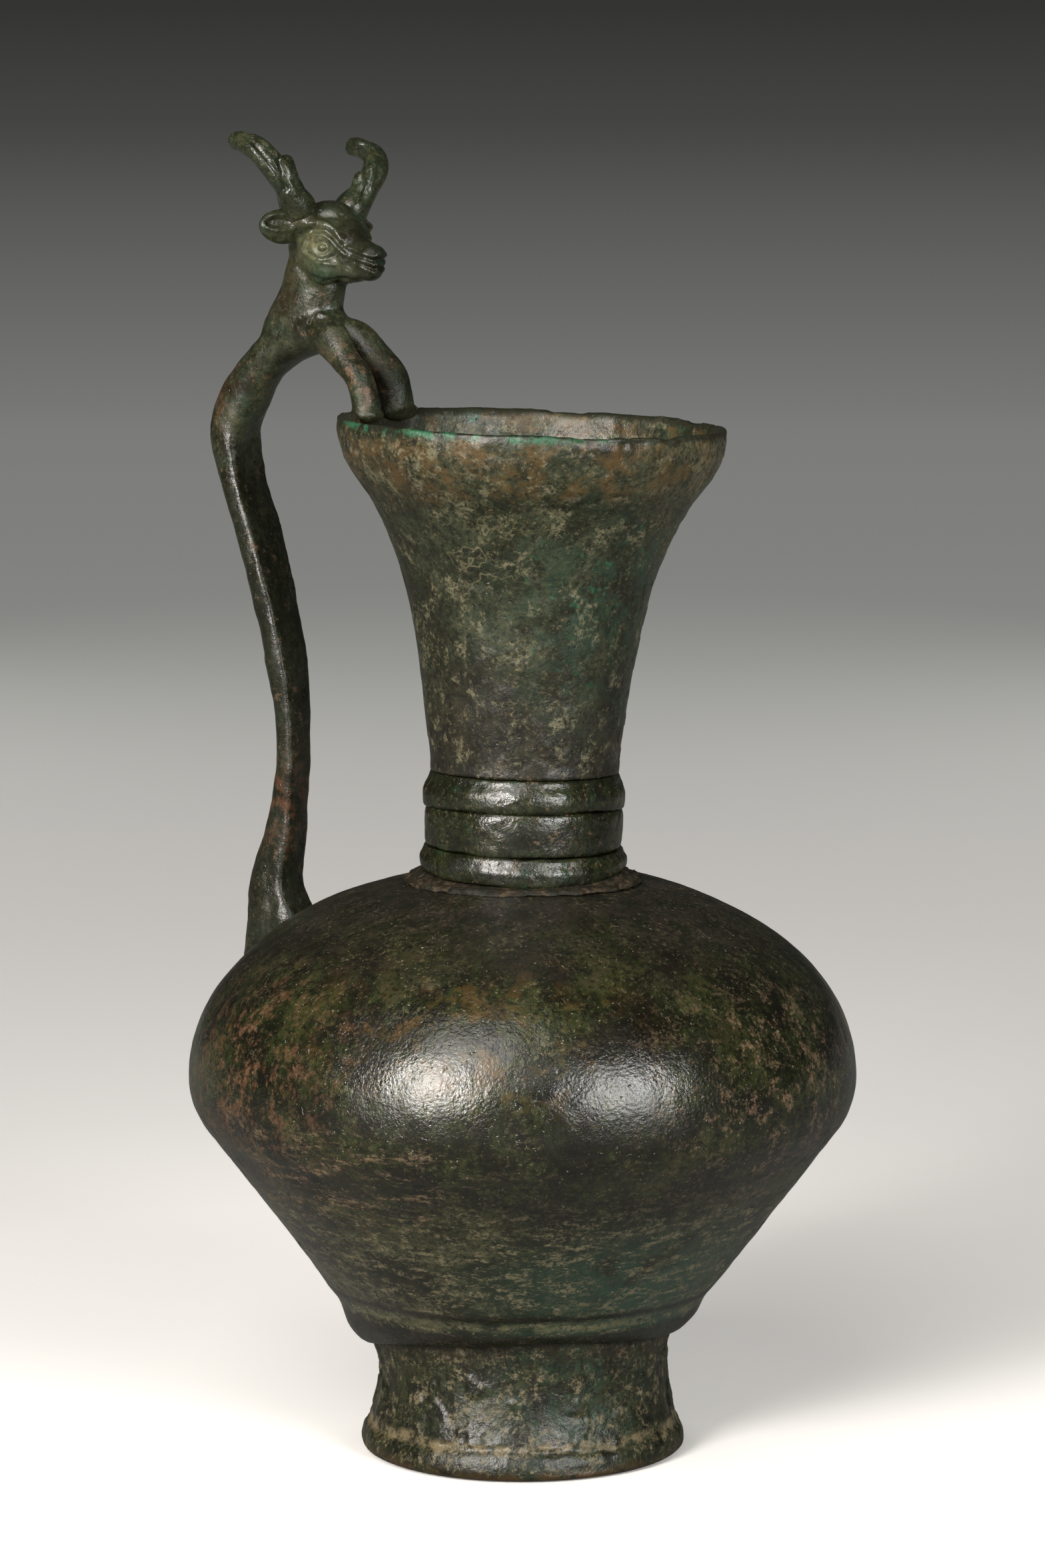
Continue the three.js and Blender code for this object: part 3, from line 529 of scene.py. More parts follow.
def mean_of_neighbours(points, edges):
    count = len(points)
    a, b = edges.T
    total = summed(a, points[b], count) + summed(b, points[a], count)
    return total / np.bincount(edges.ravel(), minlength=count)[:, None]


def normals_of(points, *groups):
    """Point normals of a skin, from groups of faces that each hold triangles or quads."""
    total = np.zeros_like(points)
    for faces in groups:
        a, b, c, d = (points[faces[:, k]] for k in (0, 1, 2, -1))
        face_normals = np.cross(c - a, d - b)
        for corners in faces.T:
            total += summed(corners, face_normals, len(points))
    return unit(total)


def relax(points, quads, rounds, fill_only=False):
    """Evens out a skin; with fill_only it only fills hollows, as solder or wax rounds an inner corner."""
    pairs = np.vstack([quads[:, [k, (k + 1) % 4]] for k in range(4)])
    edges = np.unique(np.sort(pairs, axis=1), axis=0)
    for _ in range(rounds):
        pull = mean_of_neighbours(points, edges) - points
        if fill_only:
            rising = (pull * normals_of(points, quads)).sum(1) > 0
            pull = pull * rising[:, None]
        points = points + 0.5 * pull
    return points


def refine(points, quads, chosen):
    """Splits the chosen faces into four. The result holds quads, and triangles along the seam."""
    mesh = bmesh.new()
    verts = [mesh.verts.new(p) for p in points]
    faces = [mesh.faces.new([verts[i] for i in q]) for q in quads]
    split = set()
    for face in itertools.compress(faces, chosen):
        split.update(face.edges)
    bmesh.ops.subdivide_edges(mesh, edges=list(split), cuts=1, use_grid_fill=True)
    bmesh.ops.triangulate(mesh, faces=[f for f in mesh.faces if len(f.verts) != 4])
    mesh.verts.index_update()
    new_points = np.array([v.co for v in mesh.verts])
    new_faces = [[v.index for v in f.verts] for f in mesh.faces]
    mesh.free()
    return new_points, new_faces


def distance_to_path(flat, path):
    """Distance in the plane from points to a path of straight stretches."""
    path = np.asarray(path, float)
    best = np.full(len(flat), np.inf)
    for a, b in zip(path, path[1:]):
        line = b - a
        t = np.clip(((flat - a) @ line) / (line @ line), 0, 1)
        best = np.minimum(best, np.linalg.norm(flat - a - t[:, None] * line, axis=1))
    return best


def seat_spot(out, up):
    """A place in the handle's foot, from its seat on the shoulder."""
    return np.array([SEAT_REACH + out, 0, BELLY_Z + up])


def shaft_solid():
    def shaft(share_out, share_up):
        reach = WAIST_REACH + (HANDLE_REACH - WAIST_REACH) * share_out
        return np.array([reach, 0, WAIST_Z + (RIM_TOP - WAIST_Z) * share_up])

    def back(t):
        bend = np.array([HANDLE_REACH, 0, RIM_TOP - 4])
        top = np.array([HANDLE_REACH - 6, 0, RIM_TOP + CHEST_UP * 0.7])
        return (1 - t) ** 2 * bend + 2 * t * (1 - t) * top + t * t * CHEST

    ankle = np.array([WAIST_REACH + 2.4, 0, WAIST_Z - 19.5])
    breast = CHEST - [5.9, 0, 0.3]
    return loft([
        (seat_spot(3.4, 5), 5, 6.3), (seat_spot(1.4, 12), 15.2, 12.6), (seat_spot(-1.6, 27), 19, 12.6, 3.4),
        (seat_spot(0, 41), 12.4, 11.3, 6), (ankle, 8.8, 9, 7),
        (shaft(0, 0), 6.1, 9.2, 7), (shaft(0.12, 0.26), 7.2, 11.3, 7), (shaft(0.5, 0.57), 7.2, 13.4, 7),
        (shaft(0.88, 0.8), 7.8, 13.4, 6), (back(0), 10.4, 13.4, 3.4), (back(0.25), 11.8, 13, 2.4),
        (back(0.5), 9.9, 13), (back(0.75), 11, 13), (CHEST, 12.4, 13), (breast, 6.5, 7.8),
    ], SIDE, rings=150, sectors=48)


def leg_spot(sign, reach, side, up):
    """A place by a foreleg, in shares of its reach, of its spread and of the chest's height over the rim."""
    spread = RIGHT_LEG_SPREAD if sign > 0 else -LEFT_LEG_SPREAD
    return np.array([HOOF_REACH + LEG_REACH * reach, spread * side, RIM_TOP + CHEST_UP * up])


def leg_solid(sign):
    """A foreleg; the stag's right one is the slimmer."""
    slim = 0.76 if sign > 0 else 0.98
    stations = [
        (0.9, 0.4, 0.93, 8, 8), (0.62, 0.66, 0.85, 9.6, 8.6), (0.34, 0.8, 0.64, 9.4 * slim, 9.6 * slim),
        (0.09, 0.86, 0.46, 8.8 * slim, 9.4 * slim), (-0.01, 0.88, 0.28, 8.4 * slim, 9.4 * slim),
        (-0.07, 0.9, 0.06, 8.0 * slim, 9.4 * slim),
    ]
    return loft([(leg_spot(sign, *s[:3]), *s[3:]) for s in stations], SIDE, rings=50, sectors=28)


def hoof_solders():
    """Low mounds where the hooves run into the rim; the far one trails along it."""
    near, far = leg_spot(1, -0.07, 0.9, 0.05), leg_spot(-1, -0.04, 1.1, 0.06)
    return [egg(near, [4.0, 4.2, 2.0]), egg(far, [3.4, 6.8, 2.4])]


def stag_neck_solid():
    def station(back, up):
        return CHEST + [7 * back, 0, (SKULL[2] - CHEST[2]) * up]
    return loft([
        (station(2.2, -0.4), 7.8, 11.5), (station(1.3, -0.07), 15.3, 12.8), (station(0.56, 0.26), 17.6, 12.8),
        (station(0.28, 0.67), 16, 12.6), (station(0.14, 1), 13.6, 11.5),
    ], SIDE, rings=40, sectors=36)


def skull_solid():
    def station(forward, up):
        return from_head([forward, 0, up])[0]
    return loft([
        (station(-7.5, 1), 6, 5.5), (station(-6, 0.6), 13.3, 11.2), (station(-2, 0), 19, 15.2),
        (station(2.5, 0), 19.6, 15.6), (station(7.4, -1.2), 16.9, 14), (station(11.9, -3), 12.2, 10),
        (station(15.6, -3.4), 10, 7.8), (station(18.6, -4.2), 8.4, 7.4), (station(20.2, -4.2), 4.4, 4.4),
    ], SIDE, rings=60, sectors=44)


def head_eggs():
    """The soft masses of the head, each from its centre and radii."""
    nose = ([18.3, 0, -1.9], [2.8, 3.6, 2.7])
    lips = ([18.5, 0, -4.2], [2.4, 3.4, 2.1])
    chin = ([17.5, 0, -6.2], [3.1, 3.2, 2.3])
    forehead = ([2.6, 0, 7.2], [6.6, 5.6, 3.8])
    eggs = [egg(*mass, from_head) for mass in (nose, lips, chin, forehead)]
    withers = egg(CHEST + [9.8, 0, -1.4], [7.2, 5.8, 6.2])
    eggs.append(withers)
    for sign in (1, -1):
        eye = ([5.4, sign * 5.3, -0.2], [4.2, 2.5, 4.4])
        brow = ([5.0, sign * 4.9, 3.6], [4.4, 2.3, 2.4])
        cheek = ([4.6, sign * 4.4, -5], [6, 3.4, 4.4])
        antler_root = ([1.1, sign * 7.4, 7.0], [4.1, 3.9, 4.3])
        eggs.extend(egg(*mass, from_head) for mass in (eye, brow, cheek, antler_root))
    right_ear = ([-1.2, 11.7, 4.8], [2.5, 7.5, 4.5])
    left_ear = ([-1.2, -10.6, 4.4], [2.5, 6.8, 4.2])
    eggs.extend(egg(*ear, from_head) for ear in (right_ear, left_ear))
    return eggs


# Carved lines: height in millimetres, half width and course in the photograph's pixels
FACE_LINES = {
    "brow": (0.85, 6, [(461, 335), (475, 333), (491, 338), (503, 347), (511, 360)]),
    "brow groove": (-0.45, 3.6, [(468, 345), (489, 345), (503, 357), (512, 369)]),
    "upper lid": (0.75, 3.6, [(456, 371), (461, 359), (471, 353), (485, 352),
                              (498, 361), (510, 376), (518, 382)]),
    "lower lid": (0.5, 4, [(453, 376), (464, 385), (473, 393), (500, 397)]),
    "eye corner": (-0.3, 3, [(482, 391), (503, 384), (508, 376)]),
    "jaw": (-0.7, 5, [(440, 371), (441, 389), (449, 405), (461, 416), (486, 424), (519, 421)]),
    "nose ridge": (0.45, 4, [(523, 372), (540, 380), (559, 386), (571, 380)]),
    "nose groove": (-0.4, 3, [(528, 380), (558, 390), (575, 391)]),
    "lip ridge": (0.35, 3.4, [(530, 387), (549, 393), (563, 398)]),
    "chin ridge": (0.3, 3.4, [(538, 398), (553, 406)]),
    "mouth": (-0.5, 2.8, [(532, 393), (549, 400), (563, 404), (577, 400)]),
    "cheek pit": (-0.4, 6, [(524, 398), (528, 404)]),
}
CHEST_LINES = {
    "fold": (0.4, 5, [(479, 472), (496, 476), (514, 476)]),
    "groove": (-0.6, 5, [(485, 481), (508, 483)]),
}
RIGHT_ANTLER_LINES = {
    "beam": (-0.65, 5, [(366, 202), (380, 213), (394, 230), (415, 258), (428, 283)]),
    "tine": (-0.65, 5, [(420, 240), (426, 262), (430, 282)]),
}
LEFT_ANTLER_LINES = {
    "tine": (-0.65, 5, [(551, 258), (552, 274), (545, 297)]),
    "curl": (-0.65, 5, [(533, 226), (545, 221), (556, 226)]),
    "beam": (-0.65, 5, [(543, 229), (548, 246)]),
}

# Places on the head, in the same pixels
PUPIL = np.array([482.3, 371.3])
EAR = np.array([419, 333])
EAR_SIZE = np.array([25, 12])


def seen_lines(points, normals):
    """Pixels of points, how far they face the camera, and a function for the relief of carved lines there."""
    pixels = photo_pixels(points)
    toward = unit(CAMERA_AT - points)
    facing = step((normals * toward).sum(1), 0.05, 0.35)

    def relief(lines):
        total = 0
        for height, width, path in lines.values():
            total = total + height * bell(distance_to_path(pixels, path), width)
        return facing * total

    return pixels, facing, relief


def carve_head(points, normals):
    """Depth of the face's carving along the normals. The far side mirrors the side that is seen."""
    head = to_head(points)
    mirror = np.where(head[:, 1:2] < 0, [[1, -1, 1]], [[1, 1, 1]])
    near = from_handle(from_head(head * mirror))
    near_normals = from_handle(turned(turned(normals, HEAD_YAW) * mirror, -HEAD_YAW))
    pixels, facing, relief = seen_lines(near, near_normals)
    depth = relief(FACE_LINES)
    eye = np.linalg.norm((pixels - PUPIL) * [1, 1.1], axis=1)
    depth += facing * (0.5 * bell(eye, 4.6) - 0.5 * bell(eye - 8.5, 3) + 0.2 * bell(eye - 15, 4))
    ear = np.linalg.norm((pixels - EAR) / EAR_SIZE, axis=1)
    aside = np.abs(head[:, 1])
    depth += facing * 0.25 * bell(ear - 1.1, 0.3) * step(aside, 8, 10)
    depth -= facing * 1.1 * step(ear, 0.95, 0.5) * step(aside, 7, 9)
    return depth * step(head_distance(points, 4), 27, 22)


def carve_handle(points, faces):
    normals = normals_of(points, *(np.array([f for f in faces if len(f) == sides]) for sides in (3, 4)))
    _, _, relief = seen_lines(from_handle(points), from_handle(normals))
    depth = carve_head(points, normals) + relief(CHEST_LINES)
    shaft = step(points[:, 2], RIM_TOP + 8, RIM_TOP - 4)
    wobble = 0.24 * noise(points, 11, 71) + 0.14 * noise(points, 4.5, 72) + 0.06 * noise(points, 1.9, 74)
    hammered = 0.12 * rough_noise(points, (2.6, 2.6, 5), 73) * shaft
    return points + normals * (depth + wobble + hammered)[:, None]


def make_handle(material):
    solids = [shaft_solid(), stag_neck_solid(), skull_solid(), leg_solid(1), leg_solid(-1)]
    points, quads = fuse([*solids, *hoof_solders(), *head_eggs()], voxel=0.53)
    points = relax(points, quads, rounds=3)
    head = head_distance(points, 5) < 24
    filled = relax(points, quads, rounds=14, fill_only=True)
    points = np.where(head[:, None], points + 0.5 * (filled - points), filled)
    near_head = head_distance(points[quads].mean(1), 6, -1) < 22
    points, faces = refine(points, quads, near_head)
    points = carve_handle(points, faces)
    new_piece("handle", from_handle(points), faces, material)


def antler_path(sign):
    """Stations of the main beam, thick at the crown, then out and back. The left one stands lower."""
    rise, tip, spread, stout = ANTLER_RISE, 1, ANTLER_SPREAD, 0
    if sign < 0:
        rise, tip, spread, stout = ANTLER_RISE - 1.7, 0.95, ANTLER_SPREAD - 0.8, 1

    def at(forward, out, up):
        return from_head([forward, sign * spread * out, rise * up])[0]

    sweep = ANTLER_SWEEP
    return at, [
        (at(0.6, 0.3, 0.2), 5.4, 5.4), (at(1.0, 0.42, 0.34), 8.5, 8.8), (at(1.5, 0.53, 0.44), 7.6, 8.0),
        (at(2, 0.68, 0.56), 5.4, 5.8), (at(0.9, 0.86, 0.73), 5.0 + stout, 5.6 + stout),
        (at(-0.16 * sweep, 0.98, 0.88), 4.6 + stout, 5.0 + stout),
        (at(-0.6 * sweep, tip, 0.97), 4.2, 5.2), (at(-sweep, tip, 0.99), 3.6, 4.4),
    ]


def antler_solids(sign):
    """Main beam, a second lobe along its upper side, and a short tine in front."""
    at, stations = antler_path(sign)
    ahead = from_head([1, 0, 0])[0] - SKULL
    beam = loft(stations, ahead, rings=70, sectors=32)
    lift = from_head([0.9, -sign * 1.5, 0.9])[0] - SKULL
    sizes = (3.0, 4.0, 4.0, 3.8, 3.0)
    lobe = loft([(s[0] + lift, d, d) for s, d in zip(stations[2:7], sizes)], ahead, rings=50, sectors=28)
    tip, out = (0.86, 0.63) if sign > 0 else (0.74, 0.58)
    end = at(1.6, out + 0.02, tip - 0.08)
    tine = loft([
        (at(0.8, 0.34, 0.22), 3, 3), (at(1.5, out - 0.12, tip - 0.38), 4.8, 4.8),
        (at(1.7, out - 0.03, tip - 0.2), 4.3, 4.3), (end, 4.0, 4.0),
    ], ahead, rings=40, sectors=28)
    return [beam, lobe, tine, egg(end, [2, 2, 2])]


def make_antler(name, sign, lines, material):
    points, quads = fuse(antler_solids(sign), voxel=0.3)
    points = relax(points, quads, rounds=3)
    points = relax(points, quads, rounds=5, fill_only=True)
    normals = normals_of(points, quads)
    _, _, relief = seen_lines(from_handle(points), from_handle(normals))
    depth = 0.16 * noise(points, 5, 81) + 0.07 * noise(points, 2.2, 82) + relief(lines)
    points = points + normals * depth[:, None]
    new_piece(name, from_handle(points), quads, material)


def make_handle_solder(material):
    """A rough bed of solder that spreads a little past the handle's foot."""
    toe = np.array([WAIST_REACH - 1.5, 0, WAIST_Z - 27])
    foot = loft([
        (seat_spot(3.6, 4), 6, 8), (seat_spot(1.6, 12), 17, 15.4), (seat_spot(-2.6, 27), 20, 15.6, 3),
        (seat_spot(-3.4, 38), 14, 14.5, 3), (toe, 5, 8),
    ], SIDE, rings=60, sectors=40)
    points, quads = fuse([foot], voxel=0.5)
    points = relax(points, quads, rounds=2)
    lumps = 0.55 * noise(points, 3.4, 91) + 0.3 * noise(points, 1.6, 92) - 0.2
    points = from_handle(points + normals_of(points, quads) * lumps[:, None])
    r = np.minimum(np.hypot(points[:, 0], points[:, 1]), BELLY_R - 0.1)
    ground = shoulder_z(r)
    thickness = 1.5 + 0.5 * noise(points, 4, 93)
    points[:, 2] = ground + np.clip(points[:, 2] - ground, -0.6, thickness)
    new_piece("handle_solder", points, quads, material)


# Materials


def srgb(red, green, blue):
    def linear(c):
        c /= 255
        return c / 12.92 if c <= 0.04045 else ((c + 0.055) / 1.055) ** 2.4
    return (linear(red), linear(green), linear(blue), 1.0)


class Nodes:
    """A node tree under construction. Most methods add nodes and return an output socket."""

    def __init__(self, tree):
        self.tree = tree

    def add(self, kind, settings=(), *values, **inputs):
        """A node with its settings, with values for its first inputs in order and for others by name."""
        node = self.tree.nodes.new(f"ShaderNode{kind}")
        for key, value in dict(settings).items():
            setattr(node, key, value)
        for socket, value in zip(node.inputs, values):
            self.plug(socket, value)
        for key, value in inputs.items():
            self.plug(node.inputs[key.replace("_", " ")], value)
        return node

    def plug(self, socket, value):
        if isinstance(value, bpy.types.NodeSocket):
            self.tree.links.new(value, socket)
        else:
            socket.default_value = value

    def between(self, value, low, high, start=0.0, end=1.0):
        """Goes smoothly from start at low to end at high."""
        node = self.add("MapRange", {"interpolation_type": "SMOOTHSTEP"}, Value=value,
                        From_Min=low, From_Max=high, To_Min=start, To_Max=end)
        return node.outputs[0]

    def math(self, operation, a, b=0.0):
        return self.add("Math", {"operation": operation}, a, b).outputs[0]

    def chain(self, operation, values):
        total = values[0]
        for value in values[1:]:
            total = self.math(operation, total, value)
        return total

    def times(self, *values):
        return self.chain("MULTIPLY", values)

    def plus(self, *values):
        return self.chain("ADD", values)

    def most(self, *values):
        return self.chain("MAXIMUM", values)

    def ramp(self, value, *stops):
        node = self.add("ValToRGB", Fac=value)
        ramp = node.color_ramp
        while len(ramp.elements) < len(stops):
            ramp.elements.new(0.5)
        for element, (place, colour) in zip(ramp.elements, stops):
            element.position = place
            element.color = colour
        return node.outputs[0]

    def mix(self, share, a, b):
        node = self.add("Mix", {"data_type": "RGBA"})
        self.plug(node.inputs[0], share)
        self.plug(node.inputs[6], a)
        self.plug(node.inputs[7], b)
        return node.outputs[2]


class Patina(Nodes):
    """A material under construction: places are millimetres, and its colour is painted over in layers."""

    def __init__(self, name):
        self.material = bpy.data.materials.new(name)
        self.material.use_nodes = True
        super().__init__(self.material.node_tree)
        self.tree.nodes.clear()
        coordinates = self.add("TexCoord").outputs["Object"]
        scaled = self.add("VectorMath", {"operation": "SCALE"}, Vector=coordinates, Scale=1 / MM)
        self.place = scaled.outputs["Vector"]
        self.x, self.y, self.z = self.add("SeparateXYZ", Vector=self.place).outputs
        self.colour = None

    def noise(self, size, seed=0.0, detail=4, rough=0.55, stretch=(1, 1, 1)):
        """Noise with patches about size millimetres across, from 0 to 1."""
        scale = tuple(1 / (size * s) for s in stretch)
        shift = (seed * 3.7, seed * 5.1, seed * 2.3)
        spot = self.add("Mapping", Vector=self.place, Location=shift, Scale=scale).outputs[0]
        return self.add("TexNoise", Vector=spot, Scale=1.0, Detail=detail, Roughness=rough).outputs[0]

    def patches(self, size, seed, low, high, detail=5, rough=0.6, stretch=(1, 1, 1)):
        """Ragged patches: 1 where the noise is above high, 0 where it is below low."""
        return self.between(self.noise(size, seed, detail, rough, stretch), low, high)

    def mottle(self, coarse, fine, share):
        """Coarse noise, by its share, with fine noise in it."""
        return self.plus(self.times(coarse, share), self.times(fine, 1 - share))

    def sand(self):
        return self.patches(1.2, 93, 0.40, 0.58, 4, 0.7)

    def height(self, low, high):
        """0 at one height and 1 at the other."""
        return self.between(self.z, low, high)

    def ragged(self, low, high, swing, *grain):
        """As height, but the border swings up and down with noise of the given grain."""
        return self.between(self.plus(self.z, self.times(self.noise(*grain), swing)), low, high)

    def stripe(self, value, edge, core):
        """1 where the value is closer to zero than core, 0 where it is farther than edge."""
        return self.between(self.math("ABSOLUTE", value), edge, core)

    def near(self, centre, radius):
        """1 at a place in the jug's frame, falling to 0 at radius."""
        gap = self.add("VectorMath", {"operation": "DISTANCE"}, self.place, centre)
        return self.between(gap.outputs["Value"], radius, 0.0)

    def spread(self, centre, radius, seed):
        """A zone of the jug: round a place seen in the photograph, and in random places on the far side."""
        far = self.times(self.between(self.y, -12, 24), self.patches(34, seed, 0.46, 0.58, 3))
        return self.most(self.near(centre, radius), far)

    def greens(self, value, places, palest):
        """Starts the colour: from soot over greens to the palest tone, at these places of the value."""
        self.colour = self.ramp(value, *zip(places, (SOOT, BLACK_GREEN, DARK_GREEN, MOSS, palest)))

    def paint(self, tint, amount, *masks):
        """Lays a tint over the colour where all the masks are on."""
        self.colour = self.mix(self.times(*masks, amount), self.colour, tint)

    def weather(self, amount=0.6, pores=0.8):
        """Fine pale grains, gathered in drifts, and dark pores."""
        drifts = self.patches(9, 94, 0.42, 0.60, 6, 0.68)
        self.paint(GRAIN, amount, drifts, self.patches(1.1, 91, 0.52, 0.62, 6, 0.78))
        self.paint(SOOT, pores, self.patches(1.4, 92, 0.49, 0.60, 6, 0.76))

    def bump(self, height, distance, strength=1.0, **under):
        return self.add("Bump", Height=height, Distance=distance * MM, Strength=strength, **under).outputs[0]

    def skin(self, coarse=0.25):
        """The leathery grain of a waxed and worn casting, with pin-holes."""
        leather = self.bump(self.noise(0.8, 3, 3, 0.6), 0.13)
        broad = self.bump(self.noise(5, 4, 5, 0.62), coarse, 0.8, Normal=leather)
        return self.bump(self.patches(1.5, 9, 0.64, 0.76, 2), -0.14, 0.8, Normal=broad)

    def finish(self, roughness, normal, shine=0.55):
        """A waxed surface: the wax deepens every colour."""
        deep = self.add("VectorMath", {"operation": "SCALE"}, Vector=self.colour, Scale=WAX)
        bsdf = self.add("BsdfPrincipled", Base_Color=deep.outputs["Vector"], Roughness=roughness,
                        Normal=normal)
        self.plug(bsdf.inputs["Specular IOR Level"], shine)
        self.add("OutputMaterial", Surface=bsdf.outputs[0])
        return self.material


WAX = 0.6

# Darks and greens
SOOT = srgb(21, 19, 12)
DEEP_PAINTED_SHADE = srgb(20, 17, 12)
BLACK_GREEN = srgb(28, 30, 16)
NOSE_GREEN = srgb(26, 27, 15)
DARK_GREEN = srgb(39, 45, 23)
MOSS = srgb(56, 62, 32)
OLIVE = srgb(70, 66, 40)
SAGE = srgb(72, 78, 54)
LICHEN = srgb(98, 98, 70)
FERN = srgb(55, 61, 39)
PINE = srgb(34, 66, 44)
ANTLER_GREEN = srgb(34, 50, 36)
TEAL = srgb(46, 72, 54)
STAG_TEAL = srgb(48, 74, 54)
JAW_TEAL = srgb(52, 82, 58)
SEA_GREEN = srgb(50, 82, 64)
VERDIGRIS = srgb(50, 118, 84)
RIM_GREEN = srgb(58, 122, 86)
RIM_DARK = srgb(44, 46, 32)
FACE_GREEN = srgb(98, 102, 72)
EYE_GREEN = srgb(122, 124, 88)
RIDGE_GREEN_AND_HIGHLIGHT = srgb(124, 122, 90)

# Browns and pale dust
DARK_BROWN = srgb(40, 36, 22)
WARM_PAINTED_SHADE = srgb(34, 30, 25)
UMBER = srgb(56, 44, 29)
PLUM = srgb(55, 46, 37)
EARTH = srgb(88, 64, 34)
HONEY = srgb(108, 84, 46)
OCHRE = srgb(110, 84, 44)
RUST = srgb(118, 76, 50)
RED_DUST = srgb(158, 118, 86)
SPINE_BROWN = srgb(66, 46, 30)
BEND_BROWN = srgb(120, 78, 52)
LEG_TAN = srgb(144, 112, 90)
STAG_TAN = srgb(140, 108, 78)
TAN = srgb(150, 122, 94)
SCUFF_TAN = srgb(168, 140, 108)
SPOT_TAN = srgb(160, 132, 104)
DRIFT_TAN = srgb(128, 120, 88)
FOOT_TAN = srgb(142, 130, 98)
LINE_TAN = srgb(150, 134, 100)
EDGE_TAN = srgb(146, 140, 108)
GRAIN = srgb(150, 138, 104)
CONE_DUST = srgb(152, 142, 110)
NECK_DUST = srgb(148, 142, 110)
BONE = srgb(190, 178, 148)


def handle_spot(reach, side, z):
    """A place on the handle, in the jug's frame."""
    return tuple(from_handle(np.array([[reach, side, z]]))[0])


def head_spot(forward, right, up):
    """A place on the stag's head, in the jug's frame."""
    return tuple(from_handle(from_head([forward, right, up]))[0])


def body_material():
    p = Patina("belly_patina")
    sand = p.sand()
    mottle = p.mottle(p.noise(16, 1, 8, 0.64), p.noise(2.6, 2, 7, 0.72), 0.6)
    p.greens(mottle, (0.41, 0.47, 0.52, 0.56, 0.62), OLIVE)
    shoulder = p.ragged(132, 150, 26.0, 16, 5, 6, 0.65)
    p.paint(p.mix(p.patches(6, 6, 0.4, 0.62), PLUM, BLACK_GREEN), 0.85, shoulder)
    # Cone under the belly's turn painted paler: partly green patina, partly a painted reflection of the floor
    low_greens_and_floor_reflection = p.ramp(mottle, (0.42, BLACK_GREEN), (0.5, DARK_GREEN), (0.58, LICHEN))
    p.paint(low_greens_and_floor_reflection, 0.85, p.ragged(86, 62, 24.0, 14, 18, 6, 0.65))
    p.weather(amount=0.4)
    ochre = p.times(p.patches(8, 8, 0.48, 0.62, 10, 0.76), p.height(134, 116), p.height(92, 104))
    p.paint(OCHRE, 0.7, ochre, p.spread((-14, -74, 112), 56, 41))
    rust = p.times(p.patches(4.5, 10, 0.49, 0.60, 10, 0.82), p.spread((-66, -46, 102), 50, 42))
    p.paint(p.mix(sand, RUST, RED_DUST), 0.6, rust, p.height(134, 116))
    p.paint(SOOT, 0.6, p.patches(16, 14, 0.46, 0.56, 8, 0.66), p.spread((44, -66, 104), 36, 43))
    band = p.patches(14, 15, 0.48, 0.58, 7, 0.66, (2, 2, 0.6))
    p.paint(SOOT, 0.6, band, p.height(88, 76), p.height(60, 68))
    p.paint(SEA_GREEN, 0.9, p.patches(12, 7, 0.34, 0.50, 9, 0.72), p.height(74, 52),
            p.spread((30, -42, 50), 58, 44))
    pale = p.times(p.patches(3, 16, 0.49, 0.58, 10, 0.82, (2.4, 2.4, 0.7)), p.height(78, 62), sand)
    p.paint(CONE_DUST, 0.9, pale)
    streaks = p.patches(5, 11, 0.51, 0.60, 10, 0.82, (2.6, 2.6, 0.6))
    scuff = p.times(streaks, p.height(94, 86), p.height(60, 68))
    p.paint(SCUFF_TAN, 0.9, scuff, sand, p.spread((-40, -54, 76), 64, 45))
    spots = p.times(p.patches(5, 17, 0.50, 0.59, 10, 0.78), p.height(130, 112))
    p.paint(SPOT_TAN, 0.8, spots, sand, p.spread((58, -50, 100), 52, 46))
    # Lip: a dark line, a pale ridge line that is partly green crust and partly painted highlight, the dark
    # seam below
    lip = p.plus(p.z, -LEDGE_Z - 5, p.times(p.noise(16, 19, 4), 2.4))
    p.paint(SOOT, 0.8, p.stripe(p.plus(lip, -2.6), 1.3, 0.3))
    p.paint(RIDGE_GREEN_AND_HIGHLIGHT, 0.75, p.stripe(lip, 1.7, 0.4), p.patches(5, 20, 0.44, 0.58, 9, 0.76))
    p.paint(SOOT, 0.85, p.height(LEDGE_Z + 2.4, LEDGE_Z + 0.6))
    p.paint(BONE, 0.6, p.patches(0.9, 12, 0.69, 0.74, 2))
    dull = p.plus(p.times(shoulder, 0.16), p.times(scuff, 0.2), p.times(rust, 0.12), p.times(pale, 0.16))
    rough = p.plus(p.between(p.noise(10, 13, 5), 0.3, 0.7, 0.18, 0.28), dull)
    return p.finish(rough, p.skin(), shine=0.7)


def foot_material():
    p = Patina("foot_patina")
    mottle = p.mottle(p.noise(8, 21, 8, 0.68), p.noise(2.2, 22, 8, 0.74), 0.55)
    p.greens(mottle, (0.40, 0.46, 0.51, 0.56, 0.62), UMBER)
    p.paint(TEAL, 0.8, p.patches(9, 27, 0.42, 0.56, 8, 0.7), p.spread((14, -34, 20), 34, 47))
    p.weather(amount=0.45)
    tan = p.times(p.patches(4, 28, 0.51, 0.59, 10, 0.8), p.sand())
    p.paint(FOOT_TAN, 0.85, tan)
    line = p.stripe(p.plus(p.z, -9.4, p.times(p.noise(9, 23, 5), 3.4)), 2.0, 0.3)
    p.paint(LINE_TAN, 0.85, line, p.patches(4, 24, 0.44, 0.58, 9, 0.76))
    p.paint(EARTH, 0.8, p.ragged(6.5, 2.6, 5.0, 6, 25, 6), p.patches(5, 26, 0.38, 0.54))
    p.paint(UMBER, 0.6, p.height(25, 32), p.patches(7, 29, 0.4, 0.6))
    rough = p.plus(p.between(mottle, 0.36, 0.66, 0.31, 0.45), p.times(tan, 0.2))
    return p.finish(rough, p.skin(0.4))


